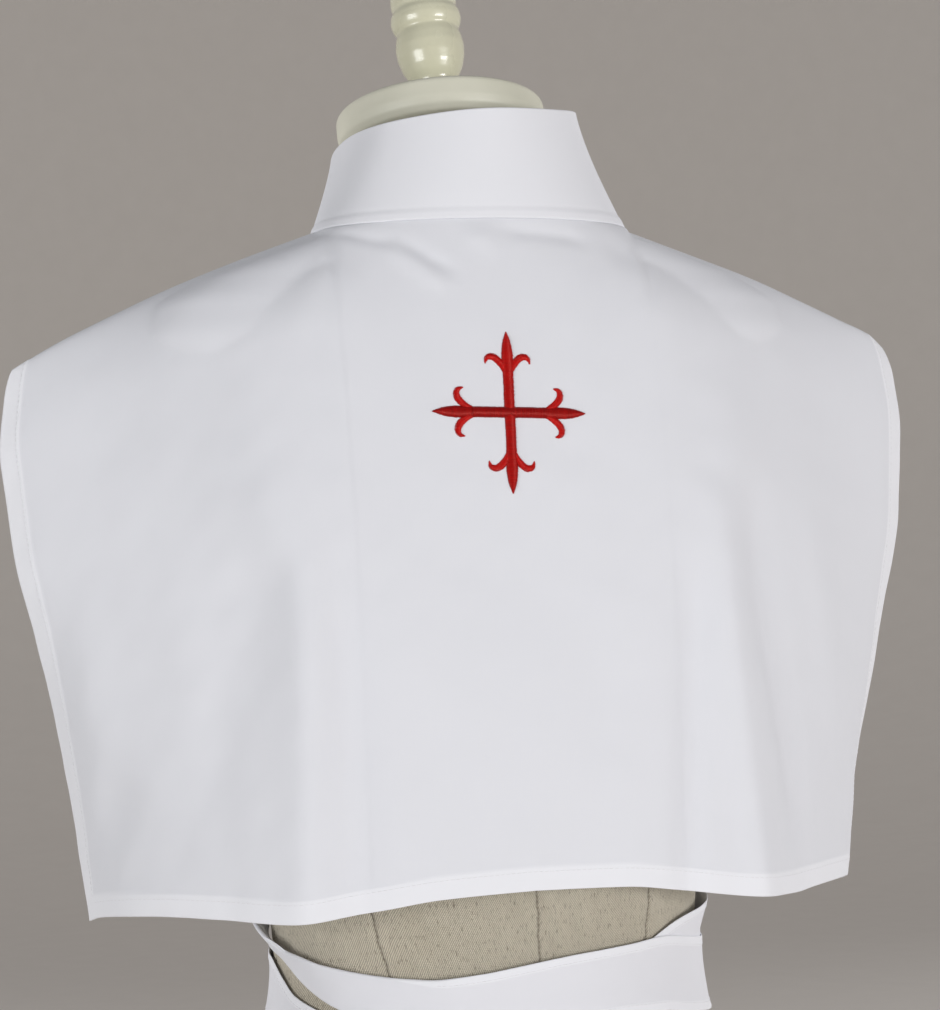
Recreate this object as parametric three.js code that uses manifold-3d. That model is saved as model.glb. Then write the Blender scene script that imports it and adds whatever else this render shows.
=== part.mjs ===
// Amice with a stand collar, worn on a limbless dress form. Millimetres, +Z up.
// The chest looks along -Y, the wearer's left is +X, and the foot stands on z = 0.
import * as THREE from "three";
import Module from "manifold-3d";

const DEG = Math.PI / 180;

// Driving dimensions.
const CLOTH_WALL = 1.2;
const COLLAR_WALL = 1.8;
const TIE_WALL = 1.2;
const HALF_WIDTH = 272;
const NECK_HALF = 88;
const FRONT_OVERLAP = 24;
const OVERLAP_LIFT = 2.6;
const CAP_RADIUS = 59.5;
const CAP_HEIGHT = 20;
const CAP_TILT = 13.7;
const CAP_CENTRE = [0, -33.2, 836.2];
const FINIAL_LEAN = 3;
const FOOT_RADIUS = 150;
const FOOT_HEIGHT = 22;
const POLE_RADIUS = 17;
const FORM_BOTTOM = 150;
const CLEARANCE = 1.2;

const LINEN_COLOUR = 0xb4ab9a;
const CLOTH_COLOUR = 0xe4e4ea;
const THREAD_COLOUR = 0xb8161c;
const CREAM_COLOUR = 0xd3cfb2;
const CAP_COLOUR = 0xcbcab8;
const METAL_COLOUR = 0x8d8d90;

// Sections of the form's body from bottom to top: height, half-width, the centre line of the section,
// its depth before and behind that line, how much it leans forward and how square it is.
const FORM_SECTIONS = [
  { z: 150, half: 146, mid: 4, front: 92, back: 96, lean: 0, square: 2.2 },
  { z: 162, half: 155, mid: 4, front: 100, back: 104, lean: 0, square: 2.2 },
  { z: 205, half: 162, mid: 4, front: 105, back: 110, lean: 0, square: 2.2 },
  { z: 260, half: 155, mid: 4, front: 101, back: 106, lean: 0, square: 2.2 },
  { z: 320, half: 133, mid: 4, front: 91, back: 97, lean: 0, square: 2.2 },
  { z: 352, half: 121.5, mid: 4, front: 84.5, back: 90, lean: 0, square: 2.2 },
  { z: 380, half: 118.5, mid: 4, front: 83, back: 88, lean: 0, square: 2.2 },
  { z: 440, half: 123, mid: 3, front: 89, back: 88, lean: 0, square: 2.2 },
  { z: 510, half: 135, mid: 0, front: 106, back: 91, lean: 0, square: 2.25 },
  { z: 585, half: 151, mid: 0, front: 118, back: 93, lean: 0, square: 2.3 },
  { z: 650, half: 168, mid: 0, front: 108, back: 88, lean: 0, square: 2.35 },
  { z: 695, half: 182, mid: 2, front: 94, back: 78, lean: 0.02, square: 2.3 },
  { z: 722, half: 188, mid: 4, front: 84, back: 70, lean: 0.05, square: 2.2 },
  { z: 738, half: 180, mid: 6, front: 77, back: 62, lean: 0.08, square: 2.1 },
  { z: 752, half: 157, mid: 10, front: 70, back: 53, lean: 0.12, square: 2.05 },
  { z: 765.5, half: 121, mid: 15, front: 70, back: 46, lean: 0.17, square: 2 },
  { z: 776.5, half: 89, mid: 14, front: 72, back: 45, lean: 0.22, square: 2 },
  { z: 788, half: 71, mid: 4, front: 70, back: 51, lean: 0.24, square: 2 },
  { z: 806, half: 62, mid: -14, front: 62, back: 55, lean: 0.244, square: 2 },
  { z: 822, half: 57, mid: -25, front: 55.5, back: 54.5, lean: 0.244, square: 2 },
  { z: 836.2, half: 54.5, mid: -33.2, front: 53, back: 53, lean: 0.244, square: 2 },
];

// The back of the amice from the middle to a side edge: arc along the cloth, depth of the back just under
// the shoulder, place of the hem in plan, hem height on the wearer's left and right, how soon the cloth
// falls away below the shoulder and how far it bellies out.
const BACK_COLUMNS = [
  { s: 0, under: 65, x: 0, y: 109, left: 426, right: 426, fall: 2.5, belly: 0 },
  { s: 50, under: 61, x: 50, y: 108, left: 424, right: 425, fall: 2.5, belly: 0 },
  { s: 88, under: 54, x: 88, y: 104, left: 419, right: 420, fall: 2.6, belly: 0 },
  { s: 132, under: 42, x: 129, y: 94, left: 414.5, right: 414, fall: 2.8, belly: 0 },
  { s: 168, under: 30, x: 160, y: 73, left: 416.5, right: 412, fall: 2.8, belly: 1 },
  { s: 200, under: 19, x: 186, y: 51, left: 417.5, right: 414, fall: 2.6, belly: 3 },
  { s: 230, under: 9, x: 206, y: 29, left: 416.5, right: 414.5, fall: 2.4, belly: 6 },
  { s: 254, under: 2, x: 215, y: 10, left: 414.5, right: 412, fall: 2.2, belly: 9 },
  { s: 272, under: -4, x: 219, y: -7, left: 411, right: 409, fall: 2, belly: 11 },
];

// The fronts in the same way, from past the middle to the side edge.
const FRONT_COLUMNS = [
  { s: -24, under: -74, x: -24, y: -113, left: 628, right: 628, fall: 1.5, belly: 0 },
  { s: 0, under: -76, x: 0, y: -115, left: 628, right: 628, fall: 1.5, belly: 0 },
  { s: 50, under: -68, x: 50, y: -112, left: 627, right: 628, fall: 1.7, belly: 0 },
  { s: 88, under: -56, x: 88, y: -104, left: 625, right: 627, fall: 1.9, belly: 0 },
  { s: 132, under: -42, x: 128, y: -88, left: 622, right: 625, fall: 2.2, belly: 0 },
  { s: 168, under: -31, x: 160, y: -70, left: 620, right: 624, fall: 2.2, belly: 0 },
  { s: 200, under: -22, x: 190, y: -53, left: 618, right: 623, fall: 2, belly: 0 },
  { s: 230, under: -13, x: 216, y: -39, left: 616, right: 622, fall: 1.8, belly: 0 },
  { s: 254, under: -7, x: 235, y: -30, left: 614, right: 621, fall: 1.6, belly: 0 },
  { s: 272, under: -4, x: 246, y: -25, left: 612, right: 620, fall: 1.6, belly: 0 },
];
const SHOULDER_TURN = 0.17;

// The shoulder line outside the collar, the same for back and front.
const SHOULDER_LINE = [
  { s: 88, x: 88, y: 21, left: 782, right: 782 },
  { s: 132, x: 128, y: 14, left: 768, right: 769 },
  { s: 176, x: 168, y: 8, left: 752.5, right: 755.5 },
  { s: 212, x: 200, y: 3, left: 738, right: 742.5 },
  { s: 240, x: 226, y: -1, left: 725.5, right: 731.5 },
  { s: 260, x: 243, y: -3, left: 716, right: 724 },
  { s: 272, x: 252, y: -4, left: 710.5, right: 716 },
];

// How far the side edge of the back stands out past the straight line from shoulder to hem.
const EDGE_SWELL = [
  { v: 0, left: 0, right: 0 },
  { v: 0.08, left: 8, right: 9 },
  { v: 0.2, left: 15, right: 15 },
  { v: 0.34, left: 15, right: 15.5 },
  { v: 0.5, left: 9.5, right: 10 },
  { v: 0.66, left: 4.5, right: 4.5 },
  { v: 0.82, left: 1.5, right: 0.5 },
  { v: 1, left: 0, right: 0 },
];

// Smooth value of one column of a table at a place between its rows.
function smoothColumn(table, key, at, column) {
  const last = table.length - 1;
  if (at <= table[0][key]) return table[0][column];
  if (at >= table[last][key]) return table[last][column];
  let i = 0;
  while (table[i + 1][key] < at) i += 1;
  const slope = (a, b) => (table[b][column] - table[a][column]) / (table[b][key] - table[a][key]);
  const span = table[i + 1][key] - table[i][key];
  const middle = slope(i, i + 1);
  const tangent = (before, after) => (before * after <= 0 ? 0 : (2 * before * after) / (before + after));
  const m0 = i === 0 ? middle : tangent(slope(i - 1, i), middle);
  const m1 = i + 1 === last ? middle : tangent(middle, slope(i + 1, i + 2));
  const t = (at - table[i][key]) / span;
  const h = t * t * (3 - 2 * t);
  return (
    table[i][column] * (1 - h) +
    table[i + 1][column] * h +
    span * (m0 * t * (1 - t) * (1 - t) - m1 * t * t * (1 - t))
  );
}

const mix = (a, b, t) => a + (b - a) * t;
const smoothStep = (t) => {
  const c = Math.min(1, Math.max(0, t));
  return c * c * (3 - 2 * c);
};

function formSection(z) {
  const row = { z };
  for (const column of ["half", "mid", "front", "back", "lean", "square"]) {
    row[column] = smoothColumn(FORM_SECTIONS, "z", z, column);
  }
  return row;
}

// A point on the form: angle from the middle of the back towards the wearer's left, height of the section.
function formPoint(angle, z, out = 0) {
  const r = formSection(z);
  const sx = Math.sin(angle);
  const cy = Math.cos(angle);
  const depth = cy > 0 ? r.back : r.front;
  const reach = 1 / Math.pow(
    Math.pow(Math.abs(sx) / (r.half + out), r.square) + Math.pow(Math.abs(cy) / (depth + out), r.square),
    1 / r.square,
  );
  const y = reach * cy;
  return [reach * sx, r.mid + y, z + r.lean * y];
}

// Rough signed distance to the form, positive outside.
function formDistance(p) {
  const value = (q) => {
    let z = q[2];
    let r = formSection(z);
    for (let i = 0; i < 4; i += 1) {
      z = q[2] - r.lean * (q[1] - r.mid);
      r = formSection(z);
    }
    const y = q[1] - r.mid;
    const depth = y > 0 ? r.back : r.front;
    return Math.pow(
      Math.pow(Math.abs(q[0]) / r.half, r.square) + Math.pow(Math.abs(y) / depth, r.square),
      1 / r.square,
    ) - 1;
  };
  const step = 0.5;
  const at = value(p);
  const gradient = [0, 1, 2].map((k) => {
    const q = p.slice();
    q[k] += step;
    const o = p.slice();
    o[k] -= step;
    return (value(q) - value(o)) / (2 * step);
  });
  const size = Math.hypot(...gradient) || 1e-6;
  return { distance: at / size, normal: gradient.map((g) => g / size) };
}

// Moves a point out of the form until it is at least the given distance from it.
function liftOffForm(p, least) {
  let q = p;
  for (let i = 0; i < 6; i += 1) {
    const { distance, normal } = formDistance(q);
    if (distance >= least - 0.01) break;
    q = q.map((c, k) => c + normal[k] * (least - distance));
  }
  return q;
}

// The neckline where the collar is sewn on: angle from the middle of the back towards the wearer's left.
function necklinePoint(angle) {
  const back = Math.cos(angle);
  return [
    NECK_HALF * Math.sin(angle),
    21 + (back > 0 ? 44 : 98) * back,
    782 + (back > 0 ? 3 * back : -36 * back * back),
  ];
}

function topPoint(s, side, isFront) {
  if (Math.abs(s) < NECK_HALF) {
    const angle = Math.asin(s / NECK_HALF);
    return necklinePoint(isFront ? Math.PI - angle : angle);
  }
  const line = (column) => smoothColumn(SHOULDER_LINE, "s", s, column);
  return [line("x"), line("y"), line(side > 0 ? "left" : "right")];
}

// A point in the middle of the amice's cloth; v runs from the neckline or shoulder line to the hem.
function clothPoint(s, v, side, isFront) {
  const table = isFront ? FRONT_COLUMNS : BACK_COLUMNS;
  const column = (name) => smoothColumn(table, "s", s, name);
  const top = topPoint(s, side, isFront);
  const fall = 1 - Math.pow(1 - v, column("fall"));
  const roundTop = 0.035 * smoothStep((s - NECK_HALF * 0.6) / (NECK_HALF * 0.5));
  const drop = (Math.hypot(v, roundTop) - roundTop) / (Math.hypot(1, roundTop) - roundTop);
  const swell = isFront ? 0 : smoothColumn(EDGE_SWELL, "v", v, side > 0 ? "left" : "right") * Math.pow(Math.max(0, s) / HALF_WIDTH, 3);
  const turnedBack = (top[1] - column("under")) * Math.pow(Math.max(0, 1 - v / SHOULDER_TURN), 2);
  let p = [
    mix(top[0], column("x"), v) + swell,
    mix(column("under"), column("y"), fall) + turnedBack + column("belly") * Math.sin(Math.PI * v),
    mix(top[2], column(side > 0 ? "left" : "right"), drop),
  ];
  if (isFront && side > 0) {
    const lift = OVERLAP_LIFT * (1 - smoothStep((s - FRONT_OVERLAP) / 22));
    p[1] -= lift;
  }
  p = liftOffForm(p, CLEARANCE + CLOTH_WALL / 2);
  if (isFront && side > 0) {
    const lift = OVERLAP_LIFT * (1 - smoothStep((s - FRONT_OVERLAP) / 22));
    p = liftOffForm(p, CLEARANCE + CLOTH_WALL / 2 + lift);
  }
  return [p[0] * side, p[1], p[2]];
}

// Collects points and four-sided faces of a sheet, welding points that fall on each other.
class Sheet {
  constructor() {
    this.points = [];
    this.faces = [];
    this.found = new Map();
  }
  point(p) {
    const key = p.map((c) => Math.round(c * 50)).join(" ");
    if (!this.found.has(key)) {
      this.found.set(key, this.points.length);
      this.points.push(p);
    }
    return this.found.get(key);
  }
  grid(rows, flip = false) {
    const index = rows.map((row) => row.map((p) => this.point(p)));
    for (let i = 0; i + 1 < index.length; i += 1) {
      for (let j = 0; j + 1 < index[i].length; j += 1) {
        const quad = [index[i][j], index[i][j + 1], index[i + 1][j + 1], index[i + 1][j]];
        this.faces.push(flip ? quad.reverse() : quad);
      }
    }
  }
}

// Gives a sheet an even wall and closes its edges.
function thicken(sheet, wall) {
  const normals = sheet.points.map(() => new THREE.Vector3());
  const vectors = sheet.points.map((p) => new THREE.Vector3(...p));
  const triangles = [];
  for (const f of sheet.faces) {
    const shortFirst = vectors[f[0]].distanceTo(vectors[f[2]]) < vectors[f[1]].distanceTo(vectors[f[3]]);
    if (shortFirst) triangles.push([f[0], f[1], f[2]], [f[0], f[2], f[3]]);
    else triangles.push([f[1], f[2], f[3]], [f[1], f[3], f[0]]);
  }
  const kept = triangles.filter((t) => t[0] !== t[1] && t[1] !== t[2] && t[0] !== t[2]);
  const edges = new Map();
  for (const t of kept) {
    const a = vectors[t[0]];
    const ab = vectors[t[1]].clone().sub(a);
    const ac = vectors[t[2]].clone().sub(a);
    const normal = ab.cross(ac);
    for (let k = 0; k < 3; k += 1) {
      normals[t[k]].add(normal);
      const from = t[k];
      const to = t[(k + 1) % 3];
      const back = to + "_" + from;
      if (edges.has(back)) edges.delete(back);
      else edges.set(from + "_" + to, [from, to]);
    }
  }
  const count = vectors.length;
  const positions = [];
  for (const side of [0.5, -0.5]) {
    vectors.forEach((v, i) => {
      const n = normals[i].clone().normalize();
      positions.push(v.x + n.x * wall * side, v.y + n.y * wall * side, v.z + n.z * wall * side);
    });
  }
  const indices = [];
  for (const t of kept) {
    indices.push(t[0], t[1], t[2]);
    indices.push(t[0] + count, t[2] + count, t[1] + count);
  }
  for (const [from, to] of edges.values()) {
    indices.push(from, from + count, to + count, from, to + count, to);
  }
  const geometry = new THREE.BufferGeometry();
  geometry.setAttribute("position", new THREE.Float32BufferAttribute(positions, 3));
  geometry.setIndex(indices);
  geometry.computeVertexNormals();
  return geometry;
}

const evenSteps = (from, to, count) => Array.from({ length: count + 1 }, (_, i) => mix(from, to, i / count));

// Body of the amice: one cut piece, back and two fronts, with no seam on the shoulder.
const NECK_STATIONS = [0, 18, 35, 51, 65, 76, 84];
const BACK_STATIONS = [...NECK_STATIONS, ...evenSteps(NECK_HALF, HALF_WIDTH, 11)];
const BACK_LEVELS = [0, 0.012, 0.028, 0.05, 0.08, 0.12, 0.17, 0.23, 0.3, 0.38, 0.47, 0.57, 0.68, 0.79, 0.9, 1];
const FRONT_LEVELS = [0, 0.025, 0.06, 0.12, 0.2, 0.3, 0.42, 0.56, 0.7, 0.85, 1];

function bodySheet() {
  const sheet = new Sheet();
  for (const side of [1, -1]) {
    const back = BACK_LEVELS.map((v) => BACK_STATIONS.map((s) => clothPoint(s, v, side, false)));
    sheet.grid(back, side < 0);
    const overlap = evenSteps(-FRONT_OVERLAP, 0, 2).slice(0, 2);
    const stations = [...overlap, ...BACK_STATIONS];
    const front = FRONT_LEVELS.map((v) => stations.map((s) => clothPoint(s, v, side, true)));
    sheet.grid(front, side > 0);
  }
  return sheet;
}

// Collar: a band sewn round the neckline, its left end lapped over the right end in front.
const COLLAR_TOP = [
  { turn: -200, half: 66, y: -93, z: 812 },
  { turn: -180, half: 66, y: -95, z: 811 },
  { turn: -120, half: 67, y: -60, z: 824 },
  { turn: -90, half: 65.5, y: -3, z: 849 },
  { turn: -45, half: 67, y: 45, z: 846.5 },
  { turn: 0, half: 68, y: 62, z: 845 },
  { turn: 45, half: 68, y: 44, z: 840 },
  { turn: 90, half: 68.5, y: -4, z: 831 },
  { turn: 120, half: 67, y: -60, z: 816 },
  { turn: 180, half: 66, y: -95, z: 809 },
  { turn: 200, half: 66, y: -93, z: 809 },
];
const COLLAR_SEAM_GAP = 1.3;

function collarPoint(turn, up) {
  const base = necklinePoint(turn * DEG);
  const top = (name) => smoothColumn(COLLAR_TOP, "turn", turn, name);
  const over = [top("half") * Math.sin(turn * DEG), top("y"), top("z")];
  const lapped = OVERLAP_LIFT * smoothStep((turn - 150) / 15);
  const outward = [Math.sin(turn * DEG), Math.cos(turn * DEG)];
  const flare = 1 - Math.pow(1 - up, 1.25);
  return [
    mix(base[0], over[0], flare) + outward[0] * lapped,
    mix(base[1], over[1], flare) + outward[1] * lapped,
    mix(base[2] + COLLAR_SEAM_GAP, over[2], up),
  ];
}

function collarSheet() {
  const sheet = new Sheet();
  const turns = evenSteps(-190, 190, 56);
  const rows = [0, 0.2, 0.45, 0.72, 1].map((up) => turns.map((turn) => collarPoint(turn, up)));
  const index = rows.map((row) => row.map((p) => sheet.points.push(p) - 1));
  for (let i = 0; i + 1 < rows.length; i += 1) {
    for (let j = 0; j + 1 < turns.length; j += 1) {
      sheet.faces.push([index[i][j + 1], index[i][j], index[i + 1][j], index[i + 1][j + 1]]);
    }
  }
  return sheet;
}

// Ties. Each row: angle round the form from the middle of the back to the wearer's left, height of the
// tape's middle, how far it stands off the form, and its width as it lies.
const LEFT_TIE = [
  { turn: 186, z: 611, off: 5, width: 36 },
  { turn: 172, z: 585, off: 5, width: 36 },
  { turn: 150, z: 536, off: 4.4, width: 36 },
  { turn: 128, z: 470, off: 4, width: 34 },
  { turn: 110, z: 422, off: 5, width: 24 },
  { turn: 94, z: 399, off: 7, width: 11 },
  { turn: 80, z: 391, off: 6, width: 7 },
  { turn: 72, z: 385, off: 5.2, width: 12 },
  { turn: 62, z: 377.5, off: 4.6, width: 17 },
  { turn: 51, z: 371.4, off: 4.3, width: 22 },
  { turn: 40, z: 366, off: 4.2, width: 28 },
  { turn: 28, z: 362.7, off: 4.2, width: 33 },
  { turn: 15, z: 364.3, off: 4.2, width: 36 },
  { turn: 2, z: 367.3, off: 4.2, width: 36 },
  { turn: -10, z: 370, off: 4.2, width: 36 },
  { turn: -22, z: 372, off: 4.2, width: 36 },
  { turn: -35, z: 373.5, off: 4.2, width: 36 },
  { turn: -47, z: 376, off: 4.2, width: 36 },
  { turn: -60, z: 375.5, off: 4.2, width: 36 },
  { turn: -77, z: 373, off: 4.2, width: 36 },
  { turn: -94, z: 373, off: 4.5, width: 36 },
  { turn: -120, z: 375, off: 4.5, width: 36 },
  { turn: -150, z: 377, off: 2.6, width: 32 },
  { turn: -170.2, z: 380, off: 6.6, width: 16 },
];
const RIGHT_TIE = [
  { turn: -186, z: 611, off: 1.9, width: 36 },
  { turn: -172, z: 585, off: 1.9, width: 36 },
  { turn: -150, z: 536, off: 1.9, width: 36 },
  { turn: -128, z: 470, off: 1.9, width: 36 },
  { turn: -110, z: 426, off: 1.9, width: 36 },
  { turn: -94, z: 398, off: 1.9, width: 36 },
  { turn: -78, z: 390, off: 1.9, width: 36 },
  { turn: -69, z: 388, off: 1.9, width: 36 },
  { turn: -60, z: 385, off: 1.9, width: 36 },
  { turn: -50, z: 377.5, off: 1.9, width: 36 },
  { turn: -40, z: 366, off: 1.9, width: 36 },
  { turn: -28, z: 354, off: 1.9, width: 36 },
  { turn: -15, z: 343.5, off: 1.9, width: 36 },
  { turn: -2, z: 337, off: 1.9, width: 36 },
  { turn: 10, z: 334, off: 1.9, width: 36 },
  { turn: 22, z: 332.5, off: 1.9, width: 36 },
  { turn: 35, z: 333, off: 1.9, width: 36 },
  { turn: 47, z: 336, off: 1.9, width: 36 },
  { turn: 60, z: 342, off: 1.9, width: 36 },
  { turn: 77, z: 352, off: 1.9, width: 36 },
  { turn: 94, z: 369, off: 1.9, width: 36 },
  { turn: 120, z: 375, off: 1.9, width: 36 },
  { turn: 150, z: 377, off: 1.9, width: 32 },
  { turn: 170.2, z: 380, off: 6.6, width: 16 },
];
// Rows of a tie between which each stretch lies, and its number of steps.
const SIDE_ROW = 5;
const WAIST_ROW = LEFT_TIE.length - 4;
const TIE_STRETCHES = [
  { name: "chest", from: 0, to: SIDE_ROW, steps: 16 },
  { name: "back", from: SIDE_ROW + 0.018, to: WAIST_ROW, steps: 34 },
  { name: "waist", from: WAIST_ROW + 0.01, to: LEFT_TIE.length - 1, steps: 12 },
];
const LEFT_TIE_END = [
  { z: 368.3, turn: 175.6, off: 7.4, width: 11.6 },
  { z: 352, turn: 172.5, off: 7.4, width: 24 },
  { z: 310, turn: 169, off: 3.4, width: 34 },
  { z: 250, turn: 166.5, off: 1.6, width: 36 },
  { z: 178, turn: 165.5, off: 1.6, width: 36 },
];
const RIGHT_TIE_END = [
  { z: 368.3, turn: 184.4, off: 7.4, width: 11.6 },
  { z: 352, turn: 188, off: 7.4, width: 24 },
  { z: 310, turn: 193, off: 3.4, width: 34 },
  { z: 250, turn: 196, off: 1.6, width: 36 },
  { z: 190, turn: 197, off: 1.6, width: 36 },
];

// A tape lying on the form along a path of rows.
function tapeSheet(rows, steps, first = 0, count = rows.length - 1, across = 3) {
  const keyed = rows.map((row, i) => ({ ...row, i }));
  const at = (i) => {
    const row = {};
    for (const name of ["turn", "z", "off", "width"]) row[name] = smoothColumn(keyed, "i", i, name);
    return row;
  };
  const middle = (i) => {
    const r = at(i);
    return new THREE.Vector3(...formPoint(r.turn * DEG, r.z, r.off));
  };
  const sheet = new Sheet();
  const strips = evenSteps(first, count, steps).map((i) => {
    const r = at(i);
    const here = middle(i);
    const along = middle(Math.min(rows.length - 1, i + 0.02)).sub(middle(Math.max(0, i - 0.02))).normalize();
    const { normal } = formDistance(here.toArray());
    const out = new THREE.Vector3(...normal);
    const sideways = out.clone().cross(along).normalize();
    return evenSteps(-0.5, 0.5, across).map((t) => {
      const p = here.clone().addScaledVector(sideways, t * r.width);
      return liftOffForm(p.toArray(), r.off);
    });
  });
  const index = strips.map((strip) => strip.map((p) => sheet.points.push(p) - 1));
  for (let i = 0; i + 1 < index.length; i += 1) {
    for (let j = 0; j < across; j += 1) {
      sheet.faces.push([index[i][j], index[i + 1][j], index[i + 1][j + 1], index[i][j + 1]]);
    }
  }
  return sheet;
}

// The form's body, closed at the bottom and the neck.
const FORM_SEGMENTS = 44;
const FORM_LEVELS = [
  150, 155, 162, 180, 205, 235, 265, 292, 318, 332, 345, 358, 370, 382, 395, 410, 440, 475, 510, 548, 585, 618, 650, 675, 695,
  710, 722, 730, 738, 745, 752, 759, 764, 769, 774, 779, 784, 790, 797, 806, 814, 822, 836.2,
];

function formGeometry() {
  const rings = FORM_LEVELS.map((z) =>
    Array.from({ length: FORM_SEGMENTS }, (_, i) => {
      const turn = (i / FORM_SEGMENTS) * 2 * Math.PI;
      const r = formSection(z);
      const cx = Math.cos(turn);
      const sy = Math.sin(turn);
      const power = 2 / r.square;
      const depth = sy > 0 ? r.back : r.front;
      const y = Math.sign(sy) * Math.pow(Math.abs(sy), power) * depth;
      return [Math.sign(cx) * Math.pow(Math.abs(cx), power) * r.half, r.mid + y, z + r.lean * y];
    }),
  );
  const positions = rings.flat(2);
  const indices = [];
  for (let i = 0; i + 1 < rings.length; i += 1) {
    for (let j = 0; j < FORM_SEGMENTS; j += 1) {
      const next = (j + 1) % FORM_SEGMENTS;
      const a = i * FORM_SEGMENTS;
      const b = a + FORM_SEGMENTS;
      indices.push(a + j, a + next, b + next, a + j, b + next, b + j);
    }
  }
  const capRing = (level, up) => {
    const ring = rings[level];
    const centre = positions.length / 3;
    const mean = [0, 1, 2].map((k) => ring.reduce((sum, p) => sum + p[k], 0) / ring.length);
    positions.push(...mean);
    for (let j = 0; j < FORM_SEGMENTS; j += 1) {
      const next = (j + 1) % FORM_SEGMENTS;
      const a = level * FORM_SEGMENTS;
      indices.push(centre, ...(up ? [a + j, a + next] : [a + next, a + j]));
    }
  };
  capRing(0, false);
  capRing(rings.length - 1, true);
  const geometry = new THREE.BufferGeometry();
  geometry.setAttribute("position", new THREE.Float32BufferAttribute(positions, 3));
  geometry.setIndex(indices);
  geometry.computeVertexNormals();
  return geometry;
}

// A turned piece: rows of radius and height, lathed about Z.
function turned(rows, segments) {
  const geometry = new THREE.LatheGeometry(rows.map(([r, z]) => new THREE.Vector2(r, z)), segments);
  geometry.rotateX(Math.PI / 2);
  return geometry;
}

// Cap and finial stand on the tilted neck.
function onNeck(geometry, up, lean = 0) {
  geometry.rotateY(lean * DEG);
  geometry.translate(0, 0, up);
  geometry.rotateX(CAP_TILT * DEG);
  geometry.translate(...CAP_CENTRE);
  return geometry;
}

const CAP_PROFILE = [
  [0, 0],
  [51, 0],
  [55.5, 1.3],
  [58.6, 4.6],
  [CAP_RADIUS, 9],
  [CAP_RADIUS, CAP_HEIGHT - 2.6],
  [58.6, CAP_HEIGHT - 0.8],
  [56.5, CAP_HEIGHT],
  [0, CAP_HEIGHT],
];
const FINIAL_PROFILE = [
  [0, 0],
  [17, 0],
  [17, 4],
  [12, 7],
  [10.2, 12],
  [11.3, 19],
  [13.3, 25],
  [16.2, 31],
  [19, 38],
  [20.3, 44],
  [20.4, 48],
  [19.6, 51],
  [18.4, 53],
  [19.6, 55],
  [20.2, 58],
  [19.6, 61],
  [17.7, 64],
  [18.6, 67],
  [18.8, 70],
  [17.4, 77],
  [13.6, 84],
  [7.6, 89.4],
  [0, 91.5],
];
const FOOT_PROFILE = [
  [0, 0],
  [FOOT_RADIUS - 2, 0],
  [FOOT_RADIUS, 2],
  [FOOT_RADIUS, 8],
  [FOOT_RADIUS - 6, 12],
  [110, 15],
  [50, FOOT_HEIGHT - 3],
  [34, FOOT_HEIGHT],
  [0, FOOT_HEIGHT],
];
const POLE_GAP = 0.3;
const POLE_PROFILE = [
  [0, FOOT_HEIGHT + POLE_GAP],
  [26, FOOT_HEIGHT + POLE_GAP],
  [26, FOOT_HEIGHT + 8],
  [POLE_RADIUS, FOOT_HEIGHT + 14],
  [POLE_RADIUS, FORM_BOTTOM - POLE_GAP],
  [0, FORM_BOTTOM - POLE_GAP],
];

// The embroidered cross: four arms with a pointed lens end and two curled petals, drawn flat round its
// middle and laid on the back panel.
const CROSS = { height: 87.5, width: 84, bar: 5.8, raise: 0.9, centreZ: 679, centreX: 0.5, tilt: -2.1 };

// A petal of an arm, as distance to the side of the arm's middle and distance back from its tip.
const PETAL = [
  [0, 14], [3.1, 15.4], [4.6, 13.4], [6.6, 12], [8.8, 11.7], [11.2, 12.4], [12.9, 14.4], [13.1, 17.3],
  [11.6, 16], [9.4, 15.5], [7.6, 16.4], [5.8, 18.4], [4.3, 20.6], [3.4, 23], [2.9, 26], [0, 26],
];
const LENS = [[0, 0], [1.35, 3], [2.4, 6.2], [3, 9.8], [3.25, 13], [3.15, 17], [2.9, 20], [2.9, 24], [0, 24]];

const bothSides = (half) => [...half, ...half.slice(1, -1).reverse().map(([x, back]) => [-x, back])];
const fromTip = (outline, reach) => outline.map(([x, back]) => [x, reach - back]);

function crossSectionOf(wasm) {
  const shapes = [];
  const reaches = [CROSS.height / 2, CROSS.width / 2, CROSS.height / 2, CROSS.width / 2];
  reaches.forEach((reach, quarter) => {
    const place = (points) =>
      points.map(([x, y]) => {
        const turn = (quarter * Math.PI) / 2 - CROSS.tilt * DEG;
        return [x * Math.cos(turn) - y * Math.sin(turn), x * Math.sin(turn) + y * Math.cos(turn)];
      });
    const bar = [
      [-CROSS.bar / 2, 0],
      [CROSS.bar / 2, 0],
      [CROSS.bar / 2, reach - 20],
      [-CROSS.bar / 2, reach - 20],
    ];
    const petal = fromTip(PETAL, reach);
    const lens = fromTip(bothSides(LENS), reach);
    shapes.push(place(bar), place(lens), place(petal), place(petal.map(([x, y]) => [-x, y])));
  });
  return wasm.CrossSection.union(shapes.map((shape) => new wasm.CrossSection([shape], "EvenOdd")));
}

function backPanelAt(x, z) {
  let low = 0;
  let high = 1;
  const side = x < 0 ? -1 : 1;
  for (let i = 0; i < 30; i += 1) {
    const v = (low + high) / 2;
    if (clothPoint(Math.abs(x), v, side, false)[2] > z) low = v;
    else high = v;
  }
  return clothPoint(Math.abs(x), (low + high) / 2, side, false);
}

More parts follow.
